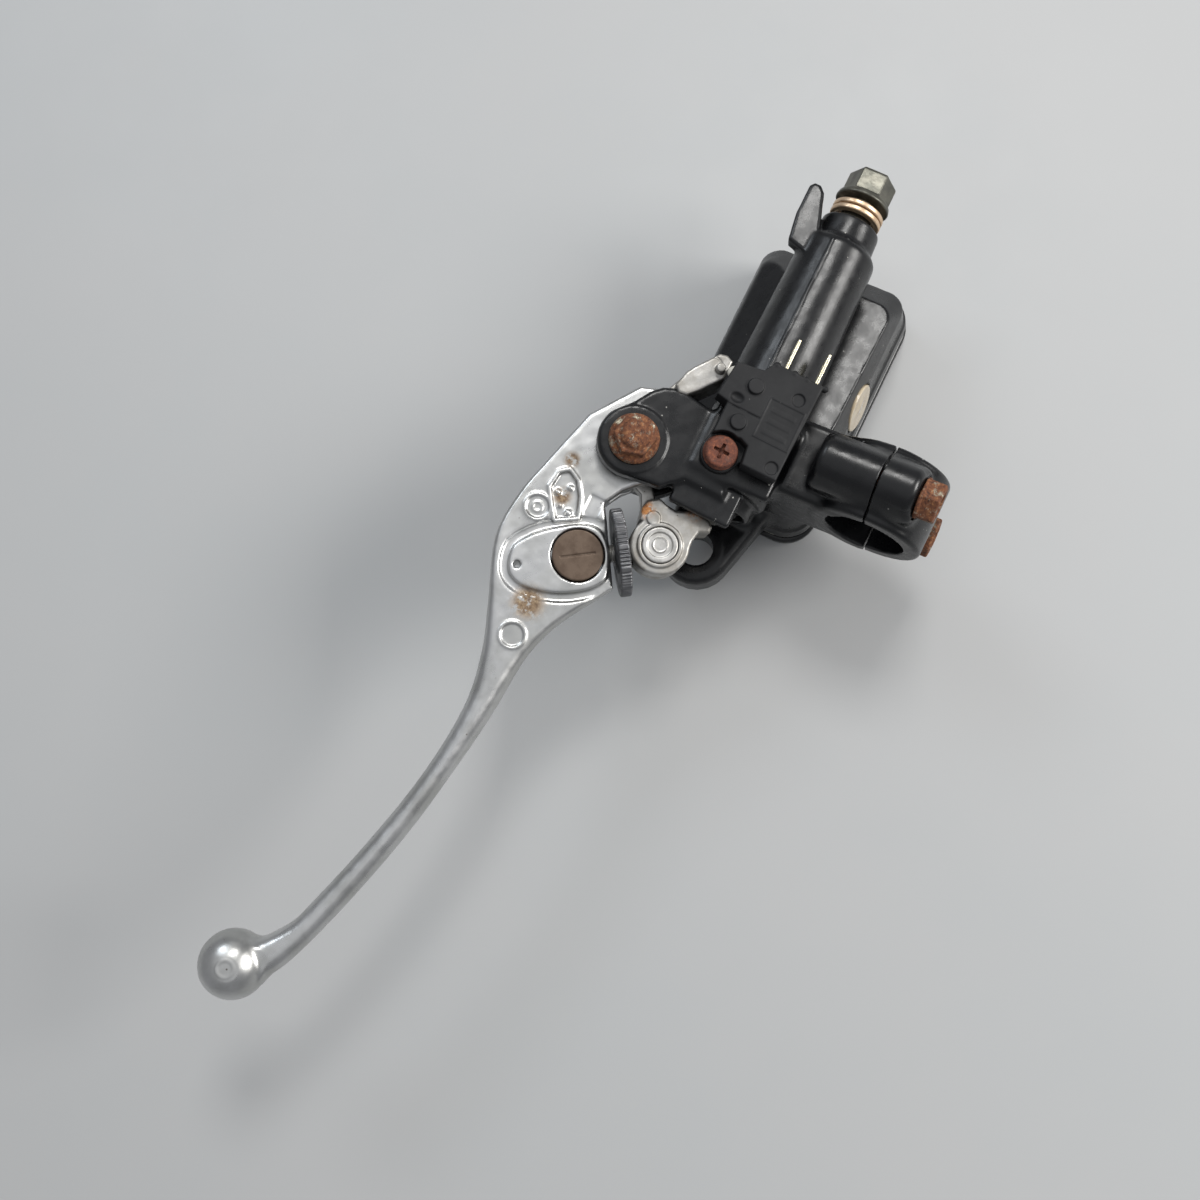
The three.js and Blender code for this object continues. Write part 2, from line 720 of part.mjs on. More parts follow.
// Finger on the knocker that holds the brake light switch in while the lever is at rest.
function switchFinger() {
  const outline = new THREE.Shape();
  outline.moveTo(4, pivotY - 6.6);
  outline.lineTo(14, pivotY - 6.6);
  outline.quadraticCurveTo(20, pivotY - 7.6, plungerX - 2.4, plungerTip + 0.6);
  outline.lineTo(plungerX + 4.5, plungerTip + 0.3);
  outline.quadraticCurveTo(plungerX + 7, plungerTip + 1.9, plungerX + 6.2, plungerTip + 4.6);
  outline.lineTo(24, pivotY - 4);
  outline.lineTo(14, pivotY + 0.4);
  outline.lineTo(4, pivotY + 2.4);
  const tab = [
    [20.2, pivotY - 9], [plungerX - 2.4, plungerTip - 0.5], [plungerX + 1.6, plungerTip - 0.7],
    [plungerX + 4.2, plungerTip + 0.6], [plungerX + 4.4, plungerTip + 3.4], [22.4, pivotY - 5.2],
    [20.4, pivotY - 5],
  ].map(([x, y]) => new THREE.Vector2(x, y));
  const lugRadius = 1.9;
  const lugY = plungerTip + 0.5 + lugRadius;
  return join(
    plate(outline, -knockerHalf, knockerHalf),
    plate(tab, -knockerHalf, switchBottom - 0.7),
    rod(lugRadius, [plungerX, lugY, 0], [plungerX, lugY, plungerHeight + plungerRadius - 0.3], 16),
  );
}

function knocker() {
  const eye = rod(knockerEyeRadius, [pinX, pinY, -knockerEyeHalf], [pinX, pinY, knockerEyeHalf]);
  return cut(
    join(plate(knockerOutline(), -knockerHalf, knockerHalf), eye, switchFinger()),
    rod(bushRadius + gap, [0, pivotY, -20], [0, pivotY, 20], 24),
    rod(pinRadius + gap, [pinX, pinY, -20], [pinX, pinY, 20]),
    rod(screwRadius + 1, [pinX, pinY, 0], alongAdjuster(20), 16),
  );
}

function knockerPin() {
  const half = knockerEyeHalf + 0.3;
  const body = rod(pinRadius, [pinX, pinY, -half], [pinX, pinY, half]);
  return cut(body, rod(screwRadius + gap, alongAdjuster(-2), alongAdjuster(20), 16));
}

function adjusterBarrel() {
  const half = leverHalf + 1;
  const body = rod(adjusterRadius, [barrelX, barrelY, -half], [barrelX, barrelY, half], 32);
  return cut(body, rod(screwRadius + gap + 0.2, [barrelX, barrelY, 0], alongAdjuster(0), 16));
}

function adjusterScrew() {
  const reach = Math.hypot(pinX - barrelX, pinY - barrelY);
  return rod(screwRadius, alongAdjuster(-1.6), alongAdjuster(reach - 0.6), 16);
}

function adjusterDial() {
  const half = dialThickness / 2;
  const hub = rod(4.6, alongAdjuster(dialFromPin), alongAdjuster(dialFromPin + half + 0.3), 20);
  const wheel = rod(dialRadius, alongAdjuster(dialFromPin - half), alongAdjuster(dialFromPin + half), 48);
  return cut(join(wheel, hub), rod(screwRadius + gap, alongAdjuster(0), alongAdjuster(22), 16));
}

function pivotBush() {
  const half = leverHalf - 0.1;
  const outside = rod(bushRadius, [0, pivotY, -half], [0, pivotY, half], 24);
  return cut(outside, rod(pivotRadius + gap, [0, pivotY, -20], [0, pivotY, 20], 20));
}

function pivotSeat() {
  return leverHalf + gap + earThickness + gap;
}

function pivotBolt() {
  const seat = pivotSeat();
  const head = hexRod(boltHex, [0, pivotY, -seat - 5], [0, pivotY, -seat]);
  const shank = rod(pivotRadius, [0, pivotY, -seat - 0.5], [0, pivotY, seat + 4], 20);
  return join(head, shank);
}

function pivotNut() {
  const seat = pivotSeat();
  const flange = rod(nutFlangeRadius, [0, pivotY, seat], [0, pivotY, seat + 1.6]);
  const hex = hexRod(nutHex, [0, pivotY, seat + 1.5], [0, pivotY, seat + 5]);
  const dome = rod(nutHex / 2, [0, pivotY, seat + 4.9], [0, pivotY, seat + 6.6], 24, 2.5);
  const thread = rod(pivotRadius + gap, [0, pivotY, seat - 1], [0, pivotY, seat + 4 + gap], 20);
  return cut(join(flange, hex, dome), thread);
}

// ---------- brake light switch, in the lever plane ----------
function switchOutline() {
  const shape = new THREE.Shape();
  shape.moveTo(switchStart, -switchHalfWidth);
  shape.lineTo(switchEnd, -switchHalfWidth);
  shape.lineTo(switchEnd, 3);
  shape.lineTo(31, 4);
  shape.lineTo(31, 12.3);
  shape.lineTo(21.5, 12.3);
  shape.lineTo(20, 10);
  shape.lineTo(switchScrewX + 5, switchScrewY + 4);
  shape.lineTo(switchScrewX + 5, switchScrewY - 5);
  shape.lineTo(switchStart, -0.5);
  return shape;
}

function switchHousing() {
  const tab = linkOutline([switchScrewX, switchScrewY, 5.2], [switchScrewX + 6, switchScrewY - 2, 6]);
  const posts = [[26.9, 5.1], [16.1, 4.9]].map(([x, y]) => rod(2.2, [x, y, switchTop - 1], [x, y, switchTop + 0.8], 18));
  const plungerHole = rod(plungerRadius + gap, [plungerX, 4, plungerHeight], [plungerX, 20, plungerHeight], 16);
  const terminalSlots = terminalPlaces().map((y) => terminalBox(y, gap));
  return cut(
    join(plate(switchOutline(), switchBottom, switchTop), plate(tab, switchBottom, switchTab), ...posts),
    rod(2.3, [switchScrewX, switchScrewY, 0], [switchScrewX, switchScrewY, 30], 16),
    rod(5.3, [switchScrewX, switchScrewY, switchTab], [switchScrewX, switchScrewY, 30]),
    plungerHole,
    ...terminalSlots,
  );
}

function terminalPlaces() {
  return [0, -8.8];
}

function terminalBox(y, clearance) {
  const half = 0.4 + clearance;
  const middle = (switchBottom + switchTop) / 2;
  const tall = 2.3 + clearance;
  const start = switchEnd - 6 - clearance;
  return box([start, y - half, middle - tall], [switchEnd + terminalLength, y + half, middle + tall]);
}

function switchPlunger() {
  return rod(plungerRadius, [plungerX, 5.5, plungerHeight], [plungerX, plungerTip, plungerHeight], 16);
}

function switchScrew() {
  const seat = switchTab + gap;
  const head = rod(4.9, [switchScrewX, switchScrewY, seat], [switchScrewX, switchScrewY, seat + 2.4], 28, 3.9);
  const shank = rod(1.9, [switchScrewX, switchScrewY, 5], [switchScrewX, switchScrewY, seat + 0.2], 14);
  const slotHalf = 0.45;
  const reach = 1.9;
  const low = seat + 1.1;
  const high = seat + 4;
  return cut(
    join(head, shank),
    box([switchScrewX - reach, switchScrewY - slotHalf, low], [switchScrewX + reach, switchScrewY + slotHalf, high]),
    box([switchScrewX - slotHalf, switchScrewY - reach, low], [switchScrewX + slotHalf, switchScrewY + reach, high]),
  );
}

// ---------- clamp bolts, in the clamp frame ----------
function clampBolt(side) {
  const x = clampStart + clampWidth / 2;
  const z = side * clampBoltOffset;
  const seat = -clampSeat - gap;
  const washer = rod(clampWasherRadius, [x, seat - 1, z], [x, seat, z]);
  const head = hexRod(clampHex, [x, seat - 5.4, z], [x, seat - 0.9, z]);
  const shank = rod(clampBoltRadius, [x, seat - 0.5, z], [x, clampBossStart - 5, z], 16);
  return join(washer, head, shank);
}

// ---------- finishes ----------
function finish(color, roughness, metalness) {
  return { color, roughness, metalness };
}

const blackPaint = finish(0x17181a, 0.4, 0.3);
const castAluminium = finish(0xb9bab8, 0.38, 0.9);
const machinedAluminium = finish(0xc4c5c4, 0.3, 0.95);
const rustySteel = finish(0x7a4426, 0.85, 0.3);
const darkSteel = finish(0x55554c, 0.45, 0.85);
const springSteel = finish(0x8a8c8e, 0.35, 0.95);
const copper = finish(0xb28e6a, 0.5, 0.7);
const bronze = finish(0x76685a, 0.5, 0.8);
const dialSteel = finish(0x3c3d3f, 0.55, 0.7);
const switchPlastic = finish(0x2a2b2d, 0.65, 0);
const rubber = finish(0x161616, 0.8, 0);
const clearPlastic = finish(0xb9a585, 0.25, 0);
const palePlastic = finish(0xd8d6cc, 0.5, 0);
const tinnedBrass = finish(0xd9d3b8, 0.3, 0.95);

// ---------- assembly ----------
const part = new THREE.Group();
const cylinderFrame = new THREE.Group();
const leverPlane = new THREE.Group();
leverPlane.rotation.x = degrees(leverRoll);
const clampFrame = new THREE.Group();
clampFrame.rotation.x = degrees(clampRoll);
clampFrame.position.y = barY;
cylinderFrame.add(leverPlane, clampFrame);
part.add(cylinderFrame);

function addPiece(name, shape, look, group = cylinderFrame) {
  const geometry = shape.isBufferGeometry ? shape : geometryOf(shape);
  const mesh = new THREE.Mesh(geometry, new THREE.MeshStandardMaterial(look));
  mesh.name = name;
  group.add(mesh);
}

const [firstLidScrew, secondLidScrew] = lidScrewPlaces();
const [firstTerminal, secondTerminal] = terminalPlaces();

addPiece('master_body', masterBody(), blackPaint);
addPiece('reservoir_lid', reservoirLid(), blackPaint);
addPiece('diaphragm_plate', diaphragmPlate(), palePlastic);
addPiece('diaphragm', diaphragm(), rubber);
addPiece('lid_screw_1', lidScrew(firstLidScrew), darkSteel);
addPiece('lid_screw_2', lidScrew(secondLidScrew), darkSteel);
addPiece('sight_glass', sightGlass(), clearPlastic);
addPiece('sight_glass_seal', sightGlassSeal(), rubber);
addPiece('reservoir_baffle', reservoirBaffle(), springSteel);

addPiece('piston', piston(), machinedAluminium);
addPiece('primary_cup', cup(33.3, 36.2, 3.8), rubber);
addPiece('secondary_cup', cup(9.8, 13.2, 4.4), rubber);
addPiece('return_spring', returnSpring(), springSteel);
addPiece('piston_circlip', circlip(), springSteel);
addPiece('piston_washer', pistonWasher(), springSteel);
addPiece('dust_boot', dustBoot(), rubber);

addPiece('crush_washer_inner', crushWasher(0), copper);
addPiece('crush_washer_outer', crushWasher(1), copper);
addPiece('banjo_bolt', banjoBolt(), darkSteel);

addPiece('clamp_cap', clampCapSolid(), blackPaint, clampFrame);
addPiece('clamp_bolt_lower', clampBolt(1), rustySteel, clampFrame);
addPiece('clamp_bolt_upper', clampBolt(-1), rustySteel, clampFrame);

addPiece('pivot_bolt', pivotBolt(), rustySteel, leverPlane);
addPiece('pivot_nut', pivotNut(), rustySteel, leverPlane);
addPiece('pivot_bush', pivotBush(), bronze, leverPlane);
addPiece('lever_blade', leverBlade(), castAluminium, leverPlane);
addPiece('knocker', knocker(), castAluminium, leverPlane);
addPiece('knocker_pin', knockerPin(), springSteel, leverPlane);
addPiece('adjuster_barrel', adjusterBarrel(), bronze, leverPlane);
addPiece('adjuster_screw', adjusterScrew(), springSteel, leverPlane);
addPiece('adjuster_dial', adjusterDial(), dialSteel, leverPlane);

addPiece('brake_switch_housing', switchHousing(), switchPlastic, leverPlane);
addPiece('switch_plunger', switchPlunger(), palePlastic, leverPlane);
addPiece('switch_terminal_1', terminalBox(firstTerminal, 0), tinnedBrass, leverPlane);
addPiece('switch_terminal_2', terminalBox(secondTerminal, 0), tinnedBrass, leverPlane);
addPiece('switch_screw', switchScrew(), rustySteel, leverPlane);

// The origin is the middle of the bounding box, on the surface that the lid rests on.
part.updateMatrixWorld(true);
const bounds = new THREE.Box3().setFromObject(part, true);
const middle = bounds.getCenter(new THREE.Vector3());
cylinderFrame.position.set(-middle.x, -middle.y, -bounds.min.z);
part.updateMatrixWorld(true);

export default part;
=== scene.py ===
import json
import math

import bpy
import numpy as np
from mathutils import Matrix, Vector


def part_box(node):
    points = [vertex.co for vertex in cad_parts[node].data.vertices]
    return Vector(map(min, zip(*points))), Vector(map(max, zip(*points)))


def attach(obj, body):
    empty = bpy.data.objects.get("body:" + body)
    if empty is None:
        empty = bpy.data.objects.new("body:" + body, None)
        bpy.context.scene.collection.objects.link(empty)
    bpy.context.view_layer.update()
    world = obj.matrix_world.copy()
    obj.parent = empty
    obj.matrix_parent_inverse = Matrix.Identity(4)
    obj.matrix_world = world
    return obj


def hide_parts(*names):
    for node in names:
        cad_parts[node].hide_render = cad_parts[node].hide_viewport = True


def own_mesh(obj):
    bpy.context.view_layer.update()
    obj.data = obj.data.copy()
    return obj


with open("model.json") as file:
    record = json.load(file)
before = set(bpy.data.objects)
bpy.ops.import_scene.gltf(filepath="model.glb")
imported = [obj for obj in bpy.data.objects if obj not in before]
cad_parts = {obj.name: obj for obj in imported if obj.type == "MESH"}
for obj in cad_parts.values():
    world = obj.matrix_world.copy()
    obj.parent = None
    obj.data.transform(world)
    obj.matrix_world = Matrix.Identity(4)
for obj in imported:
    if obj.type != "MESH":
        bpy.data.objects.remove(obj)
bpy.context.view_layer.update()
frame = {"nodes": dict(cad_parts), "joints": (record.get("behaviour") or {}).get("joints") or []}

import openvdb
from mathutils import Matrix, Vector

# Cylinder frame, in millimetres: X along the bore towards the hose port, Z away from the reservoir lid,
# origin on the bore's axis level with the lever pivot. The lever and the clamp have frames rolled about X.
pull = next(j for j in frame["joints"] if j["name"] == "lever_pull")
pivotPlace = [c * 1000 for c in pull["pos_m"]]
washerLow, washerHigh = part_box("crush_washer_inner")
portPlace = [(a + b) * 500 for a, b in zip(washerLow, washerHigh)]
origin = Vector((pivotPlace[0], portPlace[1], portPlace[2]))
leverRoll = math.atan2(-pull["axis"][1], pull["axis"][2])
pivotY = math.hypot(pivotPlace[1] - origin[1], pivotPlace[2] - origin[2])
clampRoll = math.radians(-6)
barY = -39.5

cylinderFrame = Matrix.Translation(origin)
leverFrame = cylinderFrame @ Matrix.Rotation(leverRoll, 4, "X")
clampFrame = cylinderFrame @ Matrix.Translation((0, barY, 0)) @ Matrix.Rotation(clampRoll, 4, "X")
alongX = Matrix.Rotation(math.radians(90), 4, "Y")     # turns a piece's own Z onto X
alongY = Matrix.Rotation(math.radians(90), 4, "X")     # turns a piece's own Z onto -Y
outside = 30.0                                          # distance given to empty room
faceLimit = 190000


def at(x, y, z=0.0):
    return Matrix.Translation((x, y, z))


# Every shape is a distance function with the lowest and highest corners of its room.
def roundedMeet(a, b, edge):
    a = a + edge
    b = b + edge
    return np.sqrt(np.maximum(a, 0) ** 2 + np.maximum(b, 0) ** 2) + np.minimum(np.maximum(a, b), 0) - edge


def rod(start, end, radius, endRadius=None, edge=0.4):
    start, end = np.array(start, float), np.array(end, float)
    endRadius = radius if endRadius is None else endRadius
    length = float(np.linalg.norm(end - start))
    u = (end - start) / length

    def distance(x, y, z):
        px, py, pz = x - start[0], y - start[1], z - start[2]
        t = px * u[0] + py * u[1] + pz * u[2]
        r = np.sqrt(np.maximum(px * px + py * py + pz * pz - t * t, 0))
        wall = radius + (endRadius - radius) * np.clip(t / length, 0, 1)
        return roundedMeet(r - wall, np.abs(t - length / 2) - length / 2, edge)

    reach = max(radius, endRadius)
    return distance, np.minimum(start, end) - reach, np.maximum(start, end) + reach


def disc(x, y, bottom, top, radius, topRadius=None, edge=0.3):
    return rod((x, y, bottom), (x, y, top), radius, topRadius, edge)


def ring(x, y, bottom, top, inner, outer, edge=0.2):
    middle, half = (inner + outer) / 2, (outer - inner) / 2

    def distance(px, py, pz):
        r = np.sqrt((px - x) ** 2 + (py - y) ** 2)
        ends = np.abs(pz - (bottom + top) / 2) - (top - bottom) / 2
        return roundedMeet(np.abs(r - middle) - half, ends, edge)

    return distance, np.array([x - outer, y - outer, bottom]), np.array([x + outer, y + outer, top])


def block(low, high, edge=0.6):
    low, high = np.array(low, float), np.array(high, float)
    middle, half = (low + high) / 2, (high - low) / 2 - edge

    def distance(x, y, z):
        dx, dy, dz = (np.abs(v - m) - h for v, m, h in zip((x, y, z), middle, half))
        beyond = np.sqrt(np.maximum(dx, 0) ** 2 + np.maximum(dy, 0) ** 2 + np.maximum(dz, 0) ** 2)
        return beyond + np.minimum(np.maximum(np.maximum(dx, dy), dz), 0) - edge

    return distance, low, high


def ball(centre, radius, stretch=(1, 1, 1)):
    centre, stretch = np.array(centre, float), np.array(stretch, float)

    def distance(x, y, z):
        parts = [(v - c) / s for v, c, s in zip((x, y, z), centre, stretch)]
        return (np.sqrt(sum(p * p for p in parts)) - radius) * stretch.min()

    return distance, centre - radius * stretch, centre + radius * stretch


def flat(point, normal, low, high):
    # Everything below a plane through the point, with its normal pointing out, inside the given room.
    def distance(x, y, z):
        return normal[0] * (x - point[0]) + normal[1] * (y - point[1]) + normal[2] * (z - point[2])

    return distance, np.array(low), np.array(high)


def outlineDistance(x, y, outline):
    points = np.array(outline, float)
    nearest, inside = None, None
    for (ax, ay), (bx, by) in zip(points, np.roll(points, -1, axis=0)):
        ex, ey = bx - ax, by - ay
        wx, wy = x - ax, y - ay
        t = np.clip((wx * ex + wy * ey) / (ex * ex + ey * ey), 0, 1)
        d = (wx - t * ex) ** 2 + (wy - t * ey) ** 2
        side = (ey * wx - ex * wy) * np.sign(ey)
        crosses = ((ay > y) != (by > y)) & (side < 0)
        nearest = d if nearest is None else np.minimum(nearest, d)
        inside = crosses if inside is None else inside ^ crosses
    return np.where(inside, -1, 1) * np.sqrt(nearest)


def plate(outline, bottom, top, edge=0.6, corner=0.0):
    points = np.array(outline, float)

    def distance(x, y, z):
        side = outlineDistance(x, y, outline) - corner
        softness = edge(x) if callable(edge) else edge
        return roundedMeet(side, np.abs(z - (bottom + top) / 2) - (top - bottom) / 2, softness)

    return distance, np.array([*(points.min(0) - corner), bottom]), np.array([*(points.max(0) + corner), top])


def hexBar(acrossFlats, bottom, top, x=0.0, y=0.0, edge=0.5, turn=0.0):
    angles = [math.radians(60 * i) + turn for i in range(6)]
    reach = acrossFlats / math.sqrt(3)

    def distance(px, py, pz):
        px, py = px - x, py - y
        side = None
        for a in angles:
            d = px * math.cos(a) + py * math.sin(a) - acrossFlats / 2
            side = d if side is None else np.maximum(side, d)
        crown = (np.sqrt(px * px + py * py) - reach + 0.35 + (pz - top)) * 0.7     # turned chamfer on top
        ends = np.abs(pz - (bottom + top) / 2) - (top - bottom) / 2
        return np.maximum(roundedMeet(side, ends, edge), crown)

    return distance, np.array([x - reach, y - reach, bottom]), np.array([x + reach, y + reach, top])


def turned(shape, angle, centreY=0.0):
    distance, low, high = shape
    c, s = math.cos(angle), math.sin(angle)

    def turnedDistance(x, y, z):
        y = y - centreY
        return distance(x, y * c + z * s, z * c - y * s)

    corners = np.array([(y * c - z * s + centreY, y * s + z * c) for y in (low[1], high[1])
                        for z in (low[2], high[2])])
    return turnedDistance, np.array([low[0], *corners.min(0)]), np.array([high[0], *corners.max(0)])


def without(shape, *others):
    distance, low, high = shape

    def distanceLeft(x, y, z):
        rest = distance(x, y, z)
        for other in others:
            rest = np.maximum(rest, -other[0](x, y, z))
        return rest

    return distanceLeft, low, high


def inLever(shape):
    return turned(shape, leverRoll)


def inClamp(shape):
    return turned(shape, clampRoll, barY)


def arc(x, y, radius, start, end, steps=10):
    angles = [math.radians(start + (end - start) * i / steps) for i in range(steps + 1)]
    return [(x + radius * math.cos(a), y + radius * math.sin(a)) for a in angles]


def curveThrough(points, steps=6):
    # A Catmull-Rom line through the points.
    p = [points[0], *points, points[-1]]
    line = []
    for a, b, c, d in zip(p, p[1:], p[2:], p[3:]):
        for i in range(steps):
            t = i / steps
            line.append(tuple(
                0.5 * (2 * b[k] + (c[k] - a[k]) * t + (2 * a[k] - 5 * b[k] + 4 * c[k] - d[k]) * t * t
                       + (3 * b[k] - a[k] - 3 * c[k] + d[k]) * t ** 3) for k in (0, 1)))
    return [*line, tuple(points[-1])]


def link(x0, y0, r0, x1, y1, r1):
    heading = math.degrees(math.atan2(y1 - y0, x1 - x0))
    spread = math.degrees(math.acos((r0 - r1) / math.hypot(x1 - x0, y1 - y0)))
    return [*arc(x1, y1, r1, heading - spread, heading + spread),
            *arc(x0, y0, r0, heading + spread, heading - spread + 360)]


def add(shape, blend=0.0):
    return "add", shape, blend


def cut(shape, blend=0.0):
    return "cut", shape, blend


def keep(shape, blend=0.0):
    return "keep", shape, blend


def castSkin(x, y, z, depth):
    waves = np.sin(0.83 * x + 0.6 * y), np.sin(0.71 * y - 0.9 * z + 1), np.sin(0.77 * z + 0.5 * x + 2)
    return depth * waves[0] * waves[1] * waves[2]


def sculpt(name, frameMatrix, steps, voxel, skin=0.0):
    solids = [shape for kind, shape, blend in steps if kind == "add"]
    low = np.min([s[1] for s in solids], axis=0) - 3 * voxel
    high = np.max([s[2] for s in solids], axis=0) + 3 * voxel
    count = np.ceil((high - low) / voxel).astype(int) + 1
    axes = [(low[k] + voxel * np.arange(count[k])).astype(np.float32) for k in range(3)]
    field = np.full(count, outside, np.float32)
    for kind, (distance, shapeLow, shapeHigh), blend in steps:
        if kind == "keep":
            first, last = np.zeros(3, int), count
        else:
            first = np.clip(np.floor((shapeLow - blend - low) / voxel).astype(int) - 2, 0, count)
            last = np.clip(np.ceil((shapeHigh + blend - low) / voxel).astype(int) + 3, 0, count)
        if np.any(last <= first):
            continue
        room = tuple(slice(a, b) for a, b in zip(first, last))
        x, y, z = (axes[0][room[0], None, None], axes[1][None, room[1], None], axes[2][None, None, room[2]])
        d = distance(x, y, z).astype(np.float32)
        here = field[room]
        if kind == "add":
            result = np.minimum(here, d)
            if blend:
                result = result - np.maximum(blend - np.abs(here - d), 0) ** 2 / (4 * blend)
        else:
            d = -d if kind == "cut" else d
            result = np.maximum(here, d)
            if blend:
                result = result + np.maximum(blend - np.abs(here - d), 0) ** 2 / (4 * blend)
        field[room] = result
    if skin:
        field += castSkin(axes[0][:, None, None], axes[1][None, :, None], axes[2][None, None, :], skin)
    grid = openvdb.FloatGrid(outside)
    grid.copyFromArray(np.clip(field, -4 * voxel, 4 * voxel))
    points, triangles, quads = grid.convertToPolygons(isovalue=0.0, adaptivity=0.0)
    points = points * voxel + low
    return meshPiece(name, frameMatrix, points, [*triangles.tolist(), *quads.tolist()])


def meshPiece(name, frameMatrix, points, faces):
    turn = np.array(frameMatrix, float)
    world = (np.asarray(points, float) @ turn[:3, :3].T + turn[:3, 3]) * 0.001
    mesh = bpy.data.meshes.new(name)
    mesh.from_pydata(world.tolist(), [], faces)
    mesh.update()
    piece = bpy.data.objects.new(name, mesh)
    bpy.context.scene.collection.objects.link(piece)
    corners = world[[f[0] for f in faces]], world[[f[1] for f in faces]], world[[f[2] for f in faces]]
    if np.einsum("ij,ij->", corners[0], np.cross(corners[1], corners[2])) < 0:
        mesh.flip_normals()
    triangleCount = sum(len(f) - 2 for f in faces)
    if triangleCount > faceLimit:
        thin(piece, faceLimit / triangleCount)
    piece.data.polygons.foreach_set("use_smooth", [True] * len(piece.data.polygons))
    weighted = piece.modifiers.new("evenShading", "WEIGHTED_NORMAL")
    weighted.weight = 60
    bake(piece)
    print("made", name, len(piece.data.polygons), "faces")
    return piece


def bake(piece):
    depsgraph = bpy.context.evaluated_depsgraph_get()
    finished = bpy.data.meshes.new_from_object(piece.evaluated_get(depsgraph))
    piece.modifiers.clear()
    piece.data = finished


def thin(piece, ratio):
    modifier = piece.modifiers.new("thin", "DECIMATE")
    modifier.ratio = ratio
    bake(piece)


def finishPiece(piece, body, slot, surface, *nodes):
    piece.data.materials.clear()
    piece.data.materials.append(surface)
    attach(piece, body)
    if nodes:
        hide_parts(*nodes)
    return piece


# Finishes
def node(tree, kind, **inputs):
    made = tree.nodes.new(kind)
    for key, value in inputs.items():
        if hasattr(value, "is_output"):
            tree.links.new(value, made.inputs[key])
        else:
            made.inputs[key].default_value = value
    return made


def noise(tree, place, size, detail=3.0, roughness=0.6, distortion=0.0):
    made = node(tree, "ShaderNodeTexNoise", Vector=place, Scale=1 / size, Detail=detail, Roughness=roughness,
                Distortion=distortion)
    return made.outputs["Fac"]


def ramp(tree, value, low, high, out0=0.0, out1=1.0):
    made = tree.nodes.new("ShaderNodeMapRange")
    made.interpolation_type = "SMOOTHSTEP"
    tree.links.new(value, made.inputs["Value"])
    for key, number in (("From Min", low), ("From Max", high), ("To Min", out0), ("To Max", out1)):
        made.inputs[key].default_value = number
    return made.outputs["Result"]


def maths(tree, operation, a, b=0.0):
    made = tree.nodes.new("ShaderNodeMath")
    made.operation = operation
    for socket, value in zip(made.inputs, (a, b)):
        if hasattr(value, "is_output"):
            tree.links.new(value, socket)
        else:
            socket.default_value = value
    return made.outputs[0]


def tint(tree, share, a, b):
    made = tree.nodes.new("ShaderNodeMix")
    made.data_type = "RGBA"
    for index, value in ((0, share), (6, a), (7, b)):
        socket = made.inputs[index]
        if hasattr(value, "is_output"):
            tree.links.new(value, socket)
        elif index == 0:
            socket.default_value = value
        else:
            socket.default_value = (*value, 1.0)
    return made.outputs[2]


def nearSpot(tree, place, spot, radius):
    made = tree.nodes.new("ShaderNodeVectorMath")
    made.operation = "DISTANCE"
    tree.links.new(place, made.inputs[0])
    made.inputs[1].default_value = spot
    return ramp(tree, made.outputs["Value"], radius * 0.35, radius, 1.0, 0.0)


